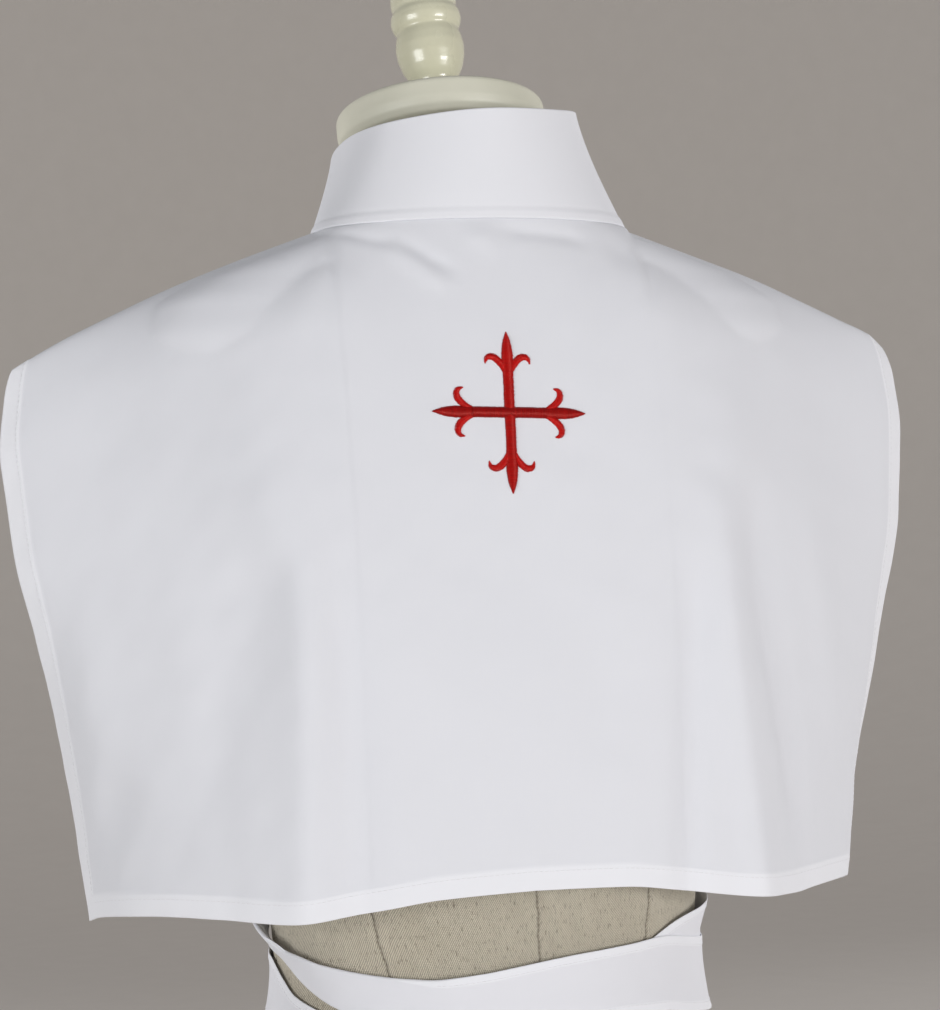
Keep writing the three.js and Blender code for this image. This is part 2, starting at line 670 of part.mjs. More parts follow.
function crossGeometry(wasm) {
  const flat = crossSectionOf(wasm);
  const slab = flat.extrude(CROSS.raise).refineToLength(7);
  const bent = slab.warp((p) => {
    const x = CROSS.centreX + p[0];
    const z = CROSS.centreZ + p[1];
    const here = new THREE.Vector3(...backPanelAt(x, z));
    const right = new THREE.Vector3(...backPanelAt(x + 2, z)).sub(new THREE.Vector3(...backPanelAt(x - 2, z)));
    const up = new THREE.Vector3(...backPanelAt(x, z + 2)).sub(new THREE.Vector3(...backPanelAt(x, z - 2)));
    const out = up.cross(right).normalize();
    if (out.y < 0) out.negate();
    here.addScaledVector(out, CLOTH_WALL / 2 + 0.5 + p[2]);
    p[0] = here.x;
    p[1] = here.y;
    p[2] = here.z;
  });
  const mesh = bent.getMesh();
  const geometry = new THREE.BufferGeometry();
  geometry.setAttribute("position", new THREE.Float32BufferAttribute(mesh.vertProperties, 3));
  geometry.setIndex(Array.from(mesh.triVerts));
  if (bent.volume() < 0) geometry.index.array.reverse();
  geometry.computeVertexNormals();
  return geometry;
}

// A flat knot at the middle of the waist in front.
const KNOT = { wide: 14, deep: 7, tall: 11, z: 380, gap: 0.5, bluntness: 0.62 };

function knotGeometry() {
  const geometry = new THREE.SphereGeometry(1, 20, 14);
  const place = geometry.getAttribute("position");
  const blunt = (c) => Math.sign(c) * Math.pow(Math.abs(c), KNOT.bluntness);
  for (let i = 0; i < place.count; i += 1) {
    place.setXYZ(i, blunt(place.getX(i)), blunt(place.getY(i)), blunt(place.getZ(i)));
  }
  geometry.scale(KNOT.wide, KNOT.deep, KNOT.tall);
  const front = formPoint(Math.PI, KNOT.z)[1];
  geometry.translate(0, front - KNOT.deep - KNOT.gap, KNOT.z);
  return geometry;
}

const wasm = await Module();
wasm.setup();
const group = new THREE.Group();
group.name = "amice_on_dress_form";

function add(name, geometry, color, roughness, metalness = 0) {
  const material = new THREE.MeshStandardMaterial({ color, roughness, metalness, name: name + "_finish" });
  const mesh = new THREE.Mesh(geometry, material);
  mesh.name = name;
  group.add(mesh);
}

add("amice_body", thicken(bodySheet(), CLOTH_WALL), CLOTH_COLOUR, 0.85);
add("collar", thicken(collarSheet(), COLLAR_WALL), CLOTH_COLOUR, 0.85);
add("embroidered_cross", crossGeometry(wasm), THREAD_COLOUR, 0.5);
for (const [side, rows, end] of [
  ["left", LEFT_TIE, LEFT_TIE_END],
  ["right", RIGHT_TIE, RIGHT_TIE_END],
]) {
  for (const { name, from, to, steps } of TIE_STRETCHES) {
    add(`tie_${side}_${name}`, thicken(tapeSheet(rows, steps, from, to), TIE_WALL), CLOTH_COLOUR, 0.85);
  }
  add(`tie_${side}_end`, thicken(tapeSheet(end, 8), TIE_WALL), CLOTH_COLOUR, 0.85);
}
add("tie_knot", knotGeometry(), CLOTH_COLOUR, 0.85);
add("form_body", formGeometry(), LINEN_COLOUR, 0.9);
add("form_neck_cap", onNeck(turned(CAP_PROFILE, 40), 0.4), CAP_COLOUR, 0.5);
add("form_finial", onNeck(turned(FINIAL_PROFILE, 28), CAP_HEIGHT + 1.7, FINIAL_LEAN), CREAM_COLOUR, 0.25);
add("form_pole", turned(POLE_PROFILE, 28), METAL_COLOUR, 0.35, 1);
add("form_foot", turned(FOOT_PROFILE, 48), METAL_COLOUR, 0.4, 1);

export default group;
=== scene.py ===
# %% [markdown]
# # A white amice on a dress form
# An amice is a short shoulder cloth of white linen or cotton. This one has a
# stand collar, a small red cross sewn on the back, and two long tapes that
# go round the waist and end in a knot in front. It is worn by a dress form
# with no arms, legs or head. The CAD model fixes every place and size. This
# lesson dresses it: the cloth gets folds, hems and stitches, the form its
# seams, and each surface a finish of its own.

# %% Load the fixed frame
import math

import bpy
import numpy as np
from mathutils import Matrix, Vector


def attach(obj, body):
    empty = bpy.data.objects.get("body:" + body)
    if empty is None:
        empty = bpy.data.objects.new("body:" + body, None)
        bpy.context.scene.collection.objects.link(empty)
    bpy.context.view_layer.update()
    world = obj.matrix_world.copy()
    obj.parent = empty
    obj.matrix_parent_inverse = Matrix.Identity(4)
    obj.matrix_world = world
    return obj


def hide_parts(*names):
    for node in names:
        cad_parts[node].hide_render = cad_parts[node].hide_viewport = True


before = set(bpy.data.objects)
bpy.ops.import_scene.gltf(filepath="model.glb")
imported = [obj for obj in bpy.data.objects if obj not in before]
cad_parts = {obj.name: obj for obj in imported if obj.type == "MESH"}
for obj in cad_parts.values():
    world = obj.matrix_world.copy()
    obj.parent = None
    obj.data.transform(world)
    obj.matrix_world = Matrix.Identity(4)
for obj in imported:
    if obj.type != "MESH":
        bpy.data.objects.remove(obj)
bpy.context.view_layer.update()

# %% [markdown]
# ## The camera
# The photographer stood behind the form, a little to the wearer's left, with
# a long lens. The camera is built from three directions: away from the
# object, to the right in the picture, and up. A small roll tips the picture
# the way the photograph is tipped.

# %% Camera
def place_camera(yaw, pitch, roll, distance, height, aside, lens):
    yaw, pitch, roll = (math.radians(a) for a in (yaw, pitch, roll))
    away = Vector((math.sin(yaw), math.cos(yaw), 0))
    right = Vector((-math.cos(yaw), math.sin(yaw), 0))
    ahead = -away * math.cos(pitch) + Vector((0, 0, math.sin(pitch)))
    up = Vector((0, 0, math.cos(pitch))) + away * math.sin(pitch)
    across = right * math.cos(roll) - up * math.sin(roll)
    upward = right * math.sin(roll) + up * math.cos(roll)
    data = bpy.data.cameras.new("photo_camera")
    data.sensor_fit = "HORIZONTAL"
    data.sensor_width = 36
    data.lens = lens
    camera = bpy.data.objects.new("photo_camera", data)
    place = away * distance + Vector((0, 0, height)) + right * aside
    turned = Matrix((across, upward, -ahead)).transposed().to_4x4()
    camera.matrix_world = Matrix.Translation(place) @ turned
    bpy.context.scene.collection.objects.link(camera)
    bpy.context.scene.camera = camera
    return away, right

TO_CAMERA, PICTURE_RIGHT = place_camera(15.15, 0.69, 1.8, 1.74, 0.610, 0.0005, 118.99)
print("camera stands at", [round(c, 3) for c in bpy.context.scene.camera.location])

# %% [markdown]
# ## Mesh helpers
# A garment is mostly grids of points. This helper turns a grid or a list of
# points and faces into an object, and keeps two facts on it: where each
# point was on the flat cloth, as a UV map in metres, and any extra number a
# finish wants, such as how many layers of cloth lie there.

# %% Make a mesh object
MM = 0.001

def make_piece(name, points, faces, flat=None, extra=None):
    mesh = bpy.data.meshes.new(name)
    mesh.from_pydata((np.asarray(points) * MM).tolist(), [], faces)
    mesh.shade_smooth()
    if flat is not None:
        corners = np.zeros(len(mesh.loops), dtype=np.int32)
        mesh.loops.foreach_get("vertex_index", corners)
        layer = mesh.uv_layers.new(name="flat_cloth")
        layer.data.foreach_set("uv", (np.asarray(flat)[corners] * MM).ravel())
    for key, values in (extra or {}).items():
        numbers = mesh.attributes.new(key, "FLOAT", "POINT").data
        numbers.foreach_set("value", np.asarray(values, dtype=np.float32))
    piece = bpy.data.objects.new(name, mesh)
    bpy.context.scene.collection.objects.link(piece)
    return piece

def grid_faces(index, wrap=False):
    index = np.asarray(index)
    if wrap:
        index = np.concatenate([index, index[:, :1]], axis=1)
    quads = [index[:-1, :-1], index[:-1, 1:], index[1:, 1:], index[1:, :-1]]
    return np.stack(quads, axis=-1).reshape(-1, 4)

# %% [markdown]
# ## Floor and backdrop
# A studio sweep is one pale sheet that runs from the floor up the wall, so
# no corner shows. This one goes all the way round, because the form is
# looked at from every side. It is turned about the middle like a wide bowl.

# %% Floor and backdrop
FLOOR = -0.4
SWEEP_PROFILE = [
    (1500, 0), (3500, 0), (4200, 60), (4800, 260), (5250, 620), (5500, 1150), (5600, 1900), (5600, 4200),
]

def make_sweep():
    turns = np.linspace(0, 2 * np.pi, 97)[:-1]
    rings = [[(r * math.cos(t), r * math.sin(t), z + FLOOR) for t in turns] for r, z in SWEEP_PROFILE]
    points = [(0, 0, FLOOR)] + [p for ring in rings for p in ring]
    index = 1 + np.arange(len(rings) * len(turns)).reshape(len(rings), -1)
    faces = grid_faces(index, wrap=True)[:, ::-1].tolist()
    faces += [[0, int(index[0, i]), int(index[0, (i + 1) % len(turns)])] for i in range(len(turns))]
    sweep = make_piece("studio_sweep", points, faces)
    return sweep

sweep = make_sweep()

# %% [markdown]
# ## Light
# The photograph has soft light from the camera's side, a little stronger
# from the right, and hardly any from above, so the shoulders are greyer than
# the back. Large area lamps give that. A second pair lights the chest, which
# the photograph doesn't show.

# %% Area lamps and surrounding light
def add_lamp(name, place, aim, size, watts, spread, colour=(1, 1, 1), in_gloss=True):
    data = bpy.data.lights.new(name, "AREA")
    data.shape = "RECTANGLE"
    data.size, data.size_y = size
    data.energy = watts
    data.color = colour
    data.spread = math.radians(spread)
    lamp = bpy.data.objects.new(name, data)
    lamp.location = place
    lamp.rotation_euler = (Vector(aim) - Vector(place)).to_track_quat("-Z", "Y").to_euler()
    lamp.visible_glossy = in_gloss
    bpy.context.scene.collection.objects.link(lamp)

MIDDLE = Vector((0, 0, 0.62))
key_place = TO_CAMERA * 2.3 + PICTURE_RIGHT * 2.5 + Vector((0, 0, 0.46))
fill_place = TO_CAMERA * 2.3 - PICTURE_RIGHT * 2.15 + Vector((0, 0, 0.52))
chest_place = -TO_CAMERA * 2.9 + PICTURE_RIGHT * 1.9 + Vector((0, 0, 1.2))
chest_fill_place = -TO_CAMERA * 2.5 - PICTURE_RIGHT * 2.3 + Vector((0, 0, 1.1))
add_lamp("key_lamp", key_place, MIDDLE, (1.5, 1.1), 29.3, 115, (1.0, 0.995, 0.99))
add_lamp("fill_lamp", fill_place, MIDDLE, (1.8, 1.2), 19.4, 115, (0.97, 0.99, 1.0))
add_lamp("chest_lamp", chest_place, MIDDLE, (1.8, 1.4), 9, 75, in_gloss=False)
add_lamp("chest_fill_lamp", chest_fill_place, MIDDLE, (1.8, 1.4), 8, 75, in_gloss=False)

world = bpy.data.worlds.new("studio_world")
bpy.context.scene.world = world
world.use_nodes = True
surroundings = world.node_tree.nodes["Background"].inputs
surroundings["Color"].default_value = (0.93, 0.95, 1.0, 1)
surroundings["Strength"].default_value = 0.22
bpy.context.scene.view_settings.view_transform = "Standard"

# %% [markdown]
# ## Smooth tables
# The shapes come from short tables, as a pattern maker keeps measures of a
# body at a few heights. Between two rows the value runs smoothly and never
# swings past either of them, which a plain spline would do.

# %% Smooth value between the rows of a table
def table(names, rows):
    return dict(zip(names.split(), np.array(rows, float).T))

def between(xs, ys, at):
    xs, ys, at = (np.asarray(a, float) for a in (xs, ys, at))
    step = np.diff(xs)
    slope = np.diff(ys) / step
    same = slope[:-1] * slope[1:] > 0
    inner = np.where(same, 2 * slope[:-1] * slope[1:] / np.where(same, slope[:-1] + slope[1:], 1), 0)
    turn = np.concatenate([slope[:1], inner, slope[-1:]])
    at = np.clip(at, xs[0], xs[-1])
    i = np.clip(np.searchsorted(xs, at, side="right") - 1, 0, len(xs) - 2)
    t = (at - xs[i]) / step[i]
    h = t * t * (3 - 2 * t)
    bend = step[i] * (turn[i] * t * (1 - t) ** 2 - turn[i + 1] * t * t * (1 - t))
    return ys[i] * (1 - h) + ys[i + 1] * h + bend

def mix(a, b, t):
    return a + (b - a) * t

def soft_step(t):
    t = np.clip(t, 0, 1)
    return t * t * (3 - 2 * t)

def unit(v):
    return v / np.maximum(np.linalg.norm(v, axis=-1, keepdims=True), 1e-9)

def length_along(line):
    steps = np.linalg.norm(np.diff(line, axis=0), axis=-1)
    return np.concatenate([[0], np.cumsum(steps)])

# %% [markdown]
# ## The form under the cloth
# Cloth takes its shape from what it lies on, so the form comes first. Each
# row is a slice: its height, half-width, middle line, depth in front and
# behind, lean, and how square it is. The same numbers made the CAD solid.

# %% Slices of the form
FORM = table("z half mid front back lean square", [
    (150, 146, 4, 92, 96, 0, 2.2), (162, 155, 4, 100, 104, 0, 2.2), (205, 162, 4, 105, 110, 0, 2.2),
    (260, 155, 4, 101, 106, 0, 2.2), (320, 133, 4, 91, 97, 0, 2.2), (352, 121.5, 4, 84.5, 90, 0, 2.2),
    (380, 118.5, 4, 83, 88, 0, 2.2), (440, 123, 3, 89, 88, 0, 2.2), (510, 135, 0, 106, 91, 0, 2.25),
    (585, 151, 0, 118, 93, 0, 2.3), (650, 168, 0, 108, 88, 0, 2.35), (695, 182, 2, 94, 78, 0.02, 2.3),
    (722, 188, 4, 84, 70, 0.05, 2.2), (738, 180, 6, 77, 62, 0.08, 2.1), (752, 157, 10, 70, 53, 0.12, 2.05),
    (765.5, 121, 15, 70, 46, 0.17, 2), (776.5, 89, 14, 72, 45, 0.22, 2), (788, 71, 4, 70, 51, 0.24, 2),
    (806, 62, -14, 62, 55, 0.244, 2), (822, 57, -25, 55.5, 54.5, 0.244, 2),
    (836.2, 54.5, -33.2, 53, 53, 0.244, 2),
])

def form_slice(z):
    return {key: between(FORM["z"], column, z) for key, column in FORM.items() if key != "z"}

def form_point(angle, z, out=0.0):
    r = form_slice(z)
    sx, cy = np.sin(angle), np.cos(angle)
    depth = np.where(cy > 0, r["back"], r["front"])
    wide = (np.abs(sx) / (r["half"] + out)) ** r["square"] + (np.abs(cy) / (depth + out)) ** r["square"]
    reach = wide ** (-1 / r["square"])
    y = reach * cy
    return np.stack(np.broadcast_arrays(reach * sx, r["mid"] + y, z + r["lean"] * y), axis=-1)

# %% [markdown]
# Nothing may dip into the form, so there is also a ruler: how far a point is
# from the form, and which way is out. A point that is too near is pushed out
# along that way until it is clear.

# %% Distance from the form
def form_value(p):
    z = p[..., 2]
    r = form_slice(z)
    for _ in range(4):
        z = p[..., 2] - r["lean"] * (p[..., 1] - r["mid"])
        r = form_slice(z)
    y = p[..., 1] - r["mid"]
    depth = np.where(y > 0, r["back"], r["front"])
    wide = (np.abs(p[..., 0]) / r["half"]) ** r["square"] + (np.abs(y) / depth) ** r["square"]
    return wide ** (1 / r["square"]) - 1

def form_distance(p):
    steps = np.eye(3) * 0.5
    slope = np.stack([form_value(p + d) - form_value(p - d) for d in steps], axis=-1)
    size = np.maximum(np.linalg.norm(slope, axis=-1), 1e-6)
    return form_value(p) / size, slope / size[..., None]

def lift_off_form(p, least):
    for _ in range(6):
        distance, normal = form_distance(p)
        short = np.where(distance < least - 0.01, least - distance, 0)
        if not short.any():
            break
        p = p + normal * short[..., None]
    return p

print("form at the waist:", np.round(form_point(np.radians([0, 90, 180]), 380), 1).tolist())

# %% [markdown]
# ## The cut of the amice
# Laid flat, the body is one piece with a round neck hole: a deep back and
# two short fronts. Columns run down the cloth from the neck or the shoulder
# to the hem. Each column has its own place in plan, hem height and hang.

# %% Tables of the cloth
HALF_WIDTH, NECK_HALF = 272, 88
FRONT_OVERLAP, OVERLAP_LIFT = 24, 2.6
CLEARANCE = 1.2
LAP_FADE = 22
BACK = table("s under x y left right fall belly", [
    (0, 65, 0, 109, 426, 426, 2.5, 0), (50, 61, 50, 108, 424, 425, 2.5, 0),
    (88, 54, 88, 104, 419, 420, 2.6, 0), (132, 42, 129, 94, 414.5, 414, 2.8, 0),
    (168, 30, 160, 73, 416.5, 412, 2.8, 1),
    (200, 19, 186, 51, 417.5, 414, 2.6, 3), (230, 9, 206, 29, 416.5, 414.5, 2.4, 6),
    (254, 2, 215, 10, 414.5, 412, 2.2, 9), (272, -4, 219, -7, 411, 409, 2, 11),
])
FRONT = table("s under x y left right fall belly", [
    (-24, -74, -24, -113, 628, 628, 1.5, 0), (0, -76, 0, -115, 628, 628, 1.5, 0),
    (50, -68, 50, -112, 627, 628, 1.7, 0), (88, -56, 88, -104, 625, 627, 1.9, 0),
    (132, -42, 128, -88, 622, 625, 2.2, 0), (168, -31, 160, -70, 620, 624, 2.2, 0),
    (200, -22, 190, -53, 618, 623, 2, 0), (230, -13, 216, -39, 616, 622, 1.8, 0),
    (254, -7, 235, -30, 614, 621, 1.6, 0), (272, -4, 246, -25, 612, 620, 1.6, 0),
])
SHOULDER = table("s x y left right", [
    (88, 88, 21, 782, 782), (132, 128, 14, 768, 769), (176, 168, 8, 752.5, 755.5),
    (212, 200, 3, 738, 742.5), (240, 226, -1, 725.5, 731.5), (260, 243, -3, 716, 724),
    (272, 252, -4, 710.5, 716),
])
EDGE_SWELL = table("v left right", [
    (0, 0, 0), (0.08, 8, 9), (0.2, 15, 15), (0.34, 15, 15.5),
    (0.5, 9.5, 10), (0.66, 4.5, 4.5), (0.82, 1.5, 0.5), (1, 0, 0),
])
SHOULDER_TURN = 0.17

def neckline_point(angle):
    back = np.cos(angle)
    y = 21 + np.where(back > 0, 44, 98) * back
    z = 782 + np.where(back > 0, 3 * back, -36 * back * back)
    return np.stack([NECK_HALF * np.sin(angle), y, z], axis=-1)

# %% [markdown]
# The middle of the cloth at any place: `s` is the way across from the middle,
# `v` the way down from 0 at the top to 1 at the hem. The cloth rounds over
# the shoulder, falls steeply and then hangs, and the left front laps over
# the right one.

# %% Where the cloth lies
def cloth_point(s, v, side, front):
    s, v = np.broadcast_arrays(np.asarray(s, float), np.asarray(v, float))
    cut = FRONT if front else BACK
    hand = "left" if side > 0 else "right"
    def column(name):
        return between(cut["s"], cut[name], s)
    angle = np.arcsin(np.clip(s / NECK_HALF, -1, 1))
    neck = neckline_point(np.pi - angle if front else angle)
    shoulder = np.stack([between(SHOULDER["s"], SHOULDER[k], s) for k in ("x", "y", hand)], axis=-1)
    top = np.where((np.abs(s) < NECK_HALF)[..., None], neck, shoulder)
    fall = 1 - (1 - v) ** column("fall")
    ridge = 0.035 * soft_step((s - NECK_HALF * 0.6) / (NECK_HALF * 0.5))
    drop = (np.hypot(v, ridge) - ridge) / (np.hypot(1, ridge) - ridge)
    swell = 0
    if not front:
        swell = between(EDGE_SWELL["v"], EDGE_SWELL[hand], v) * (np.maximum(0, s) / HALF_WIDTH) ** 3
    turned = (top[..., 1] - column("under")) * np.maximum(0, 1 - v / SHOULDER_TURN) ** 2
    x = mix(top[..., 0], column("x"), v) + swell
    y = mix(column("under"), column("y"), fall) + turned + column("belly") * np.sin(np.pi * v)
    z = mix(top[..., 2], column(hand), drop)
    lap = 0 * s
    if front and side > 0:
        lap = OVERLAP_LIFT * (1 - soft_step((s - FRONT_OVERLAP) / LAP_FADE))
    p = lift_off_form(np.stack([x, y - lap, z], axis=-1), CLEARANCE + 0.6 + lap)
    return p * np.array([side, 1, 1])

# %% [markdown]
# ## Creases placed one by one
# The photograph shows only a few soft folds: a ridge down each half of the
# back with a shallow trough beside it, and short creases under the collar
# seam. Each is a path on the flat cloth with a height and a width. Fine
# unevenness comes from a few long waves, so the cloth is never ruler-flat.

# %% Height of folds and of small waves
def crease(place, path, height, width):
    best = np.full(place.shape[:-1], 1e9)
    tall = np.zeros(place.shape[:-1])
    path = np.array(path, float)
    for a, b, ha, hb in zip(path[:-1], path[1:], height[:-1], height[1:]):
        t = np.clip(((place - a) @ (b - a)) / ((b - a) @ (b - a)), 0, 1)
        d = np.linalg.norm(place - a - t[..., None] * (b - a), axis=-1)
        tall = np.where(d < best, mix(ha, hb, soft_step(t)), tall)
        best = np.minimum(best, d)
    return tall * np.exp(-((best / width) ** 2))

def unevenness(place, size, seed):
    dice = np.random.RandomState(seed)
    total = 0
    for _ in range(6):
        way = dice.normal(size=place.shape[-1])
        way *= 2 * np.pi / (size * dice.uniform(0.7, 1.6) * np.linalg.norm(way))
        total = total + np.sin(place @ way + dice.uniform(0, 6.3))
    return total / 3

# %% [markdown]
# ## Giving cloth its thickness
# Real cloth has two faces and an edge. The sheet's points are pushed out
# along their normals for the outer face and in for the inner one, and the
# open edges are joined. Where a hem is turned in, the cloth gets thicker, and
# towards an edge it gets thinner, so the edge is round.

# %% Close a sheet into a thin shell
def face_normals(points, quads, count):
    a, b, c, d = (points[quads[:, k]] for k in range(4))
    flat = np.cross(c - a, d - b)
    total = np.zeros((count, 3))
    for k in range(4):
        np.add.at(total, quads[:, k], flat)
    return unit(total)

def close_sheet(points, quads, out, inside):
    count = len(points)
    normals = face_normals(points, quads, count)
    outer = points + normals * np.broadcast_to(out, count)[:, None]
    inner = points - normals * np.broadcast_to(inside, count)[:, None]
    edges = np.concatenate([quads[:, [k, (k + 1) % 4]] for k in range(4)])
    keys = np.sort(edges, axis=1) @ np.array([count, 1])
    _, first, times = np.unique(keys, return_index=True, return_counts=True)
    rim = edges[first[times == 1]]
    walls = np.stack([rim[:, 1], rim[:, 0], rim[:, 0] + count, rim[:, 1] + count], axis=-1)
    faces = np.concatenate([quads, quads[:, ::-1] + count, walls])
    return np.concatenate([outer, inner]), faces

def round_edge(distance, reach, least):
    arc = np.sqrt(np.clip(1 - (1 - np.clip(distance, 0, reach) / reach) ** 2, 0, 1))
    return np.maximum(arc, least)

def both(values):
    return np.concatenate([values, values])

# %% [markdown]
# Stitches and embroidery threads are short rods that rise out of the cloth
# and dive back in. One helper makes all of them: lines of points, each with
# the way up, swept by a small ring and closed at both ends.

# %% Thread from lines of points
def thread_rods(lines, ups, radii, sides):
    along = unit(np.gradient(lines, axis=1))
    across = unit(np.cross(along, ups))
    ups = np.cross(across, along)
    turn = np.linspace(0, 2 * np.pi, sides + 1)[:-1]
    radii = np.broadcast_to(radii, lines.shape[:2])[..., None, None]
    ring = np.cos(turn)[:, None] * across[:, :, None] + np.sin(turn)[:, None] * ups[:, :, None]
    points = (lines[:, :, None] + radii * ring).reshape(-1, 3)
    count, steps = lines.shape[:2]
    index = np.arange(count * steps * sides).reshape(count, steps, sides)
    nxt = np.roll(index, -1, axis=2)
    walls = np.stack([index[:, :-1], nxt[:, :-1], nxt[:, 1:], index[:, 1:]], axis=-1).reshape(-1, 4)
    return points, walls.tolist() + index[:, 0, ::-1].tolist() + index[:, -1].tolist()

# %% [markdown]
# ## Shared shader groups
# Cloth, tape and linen all show threads that pass over and under each other.
# A shader group makes that once. It reads the flat-cloth map, so the threads
# follow the cut, and gives a height for the bump and a shade for the colour.

# %% Small tools for shader nodes
def feed(tree, socket, value):
    if isinstance(value, bpy.types.NodeSocket):
        tree.links.new(value, socket)
    else:
        socket.default_value = value

def calculate(tree, operation, *values):
    node = tree.nodes.new("ShaderNodeMath")
    node.operation = operation
    for socket, value in zip(node.inputs, values):
        feed(tree, socket, value)
    return node.outputs[0]

def blend_colours(tree, amount, first, second):
    node = tree.nodes.new("ShaderNodeMix")
    node.data_type = "RGBA"
    for name, value in ((0, amount), (6, first), (7, second)):
        feed(tree, node.inputs[name], value)
    return node.outputs[2]

def noise(tree, place, scale, detail=3.0, stretch=None):
    if stretch:
        sizer = tree.nodes.new("ShaderNodeVectorMath")
        sizer.operation = "MULTIPLY"
        feed(tree, sizer.inputs[0], place)
        sizer.inputs[1].default_value = stretch
        place = sizer.outputs[0]
    node = tree.nodes.new("ShaderNodeTexNoise")
    feed(tree, node.inputs["Vector"], place)
    feed(tree, node.inputs["Scale"], scale)
    node.inputs["Detail"].default_value = detail
    return node.outputs["Fac"]

def start_group(name, inputs, outputs):
    tree = bpy.data.node_groups.new(name, "ShaderNodeTree")
    for title, kind, value in inputs:
        socket = tree.interface.new_socket(name=title, in_out="INPUT", socket_type="NodeSocket" + kind)
        if value is not None:
            socket.default_value = value
    for title, kind in outputs:
        tree.interface.new_socket(name=title, in_out="OUTPUT", socket_type="NodeSocket" + kind)
    return tree, tree.nodes.new("NodeGroupInput").outputs, tree.nodes.new("NodeGroupOutput").inputs

# %% Woven threads
def ridges(tree, across, frequency):
    wave = calculate(tree, "SINE", calculate(tree, "MULTIPLY", across, frequency))
    return calculate(tree, "ABSOLUTE", wave)

def make_weave():
    tree, given, made = start_group(
        "woven_threads",
        [("Place", "Vector", None), ("Threads per metre", "Float", 2000.0), ("Slub", "Float", 0.5)],
        [("Height", "Float"), ("Shade", "Float")],
    )
    split = tree.nodes.new("ShaderNodeSeparateXYZ")
    tree.links.new(given["Place"], split.inputs[0])
    counts = [calculate(tree, "MULTIPLY", split.outputs[k], given["Threads per metre"]) for k in (0, 1)]
    rounds = [ridges(tree, count, math.pi) for count in counts]
    whole = calculate(tree, "ADD", calculate(tree, "FLOOR", counts[0]), calculate(tree, "FLOOR", counts[1]))
    over = calculate(tree, "MODULO", calculate(tree, "ABSOLUTE", whole), 2.0)
    warp = calculate(tree, "MULTIPLY", rounds[0], over)
    weft = calculate(tree, "MULTIPLY", rounds[1], calculate(tree, "SUBTRACT", 1.0, over))
    thread = calculate(tree, "ADD", warp, weft)
    slub_a = noise(tree, given["Place"], 60.0, 3.0, (14.0, 1.0, 1.0))
    slub_b = noise(tree, given["Place"], 60.0, 3.0, (1.0, 14.0, 1.0))
    half_slub = calculate(tree, "MULTIPLY", given["Slub"], 0.5)
    slub = calculate(tree, "MULTIPLY", calculate(tree, "ADD", slub_a, slub_b), half_slub)
    height = calculate(tree, "ADD", thread, slub)
    tree.links.new(height, made["Height"])
    tree.links.new(calculate(tree, "ADD", calculate(tree, "MULTIPLY", thread, 0.5), slub), made["Shade"])
    return tree

woven_threads = make_weave()

# %% Slow change of colour
def make_soft_change():
    tree, given, made = start_group(
        "soft_change",
        [("Place", "Vector", None), ("Patches per metre", "Float", 9.0), ("Contrast", "Float", 2.0)],
        [("Mask", "Float")],
    )
    broad = noise(tree, given["Place"], given["Patches per metre"], 4.0)
    centred = calculate(tree, "MULTIPLY", calculate(tree, "SUBTRACT", broad, 0.5), given["Contrast"])
    clamp = tree.nodes.new("ShaderNodeClamp")
    tree.links.new(calculate(tree, "ADD", centred, 0.5), clamp.inputs[0])
    tree.links.new(clamp.outputs[0], made["Mask"])
    return tree

soft_change = make_soft_change()
print("shader groups:", [g.name for g in bpy.data.node_groups])

# %% [markdown]
# ## Finishes
# Each material starts from a Principled shader. Numbers that are the same
# everywhere are typed into the shader. What changes over the surface comes
# from the groups: threads, patches, hems and a bump.

# %% Start a material
def start_material(name, **constants):
    material = bpy.data.materials.new(name)
    material.use_nodes = True
    tree = material.node_tree
    shader = tree.nodes["Principled BSDF"]
    for key, value in constants.items():
        shader.inputs[key.replace("_", " ")].default_value = value
    return material, tree, shader

def use_group(tree, group, **values):
    node = tree.nodes.new("ShaderNodeGroup")
    node.node_tree = group
    for key, value in values.items():
        feed(tree, node.inputs[key.replace("_", " ")], value)
    return node.outputs

def add_bump(tree, shader, height, depth, strength=1.0):
    bump = tree.nodes.new("ShaderNodeBump")
    bump.inputs["Strength"].default_value = strength
    bump.inputs["Distance"].default_value = depth
    tree.links.new(height, bump.inputs["Height"])
    tree.links.new(bump.outputs["Normal"], shader.inputs["Normal"])

# %% [markdown]
# The amice is fine white cotton with a cool cast. The hems look lighter,
# because there the light meets two or three layers. The faint greyer patches
# are where the cloth is thin. Sheen stands for the short fibres on top.

# %% White cotton for the amice and the tapes
def cotton(name, thin, full, threads, slub):
    material, tree, shader = start_material(
        name, Roughness=0.86, Sheen_Weight=0.12, Sheen_Roughness=0.5, Specular_IOR_Level=0.25,
    )
    flat = tree.nodes.new("ShaderNodeUVMap")
    flat.uv_map = "flat_cloth"
    layers = tree.nodes.new("ShaderNodeAttribute")
    layers.attribute_name = "layers"
    weave = use_group(tree, woven_threads, Place=flat.outputs[0], Threads_per_metre=threads, Slub=slub)
    patches = use_group(tree, soft_change, Place=flat.outputs[0], Patches_per_metre=7.0, Contrast=2.4)
    grey = tuple(c * 0.955 for c in thin[:3]) + (1,)
    base = blend_colours(tree, calculate(tree, "MULTIPLY", patches["Mask"], 0.5), thin, grey)
    base = blend_colours(tree, layers.outputs["Fac"], base, full)
    base = blend_colours(tree, calculate(tree, "MULTIPLY", weave["Shade"], 0.10), base, (1, 1, 1, 1))
    tree.links.new(base, shader.inputs["Base Color"])
    add_bump(tree, shader, weave["Height"], 0.00006, 0.6)
    return material

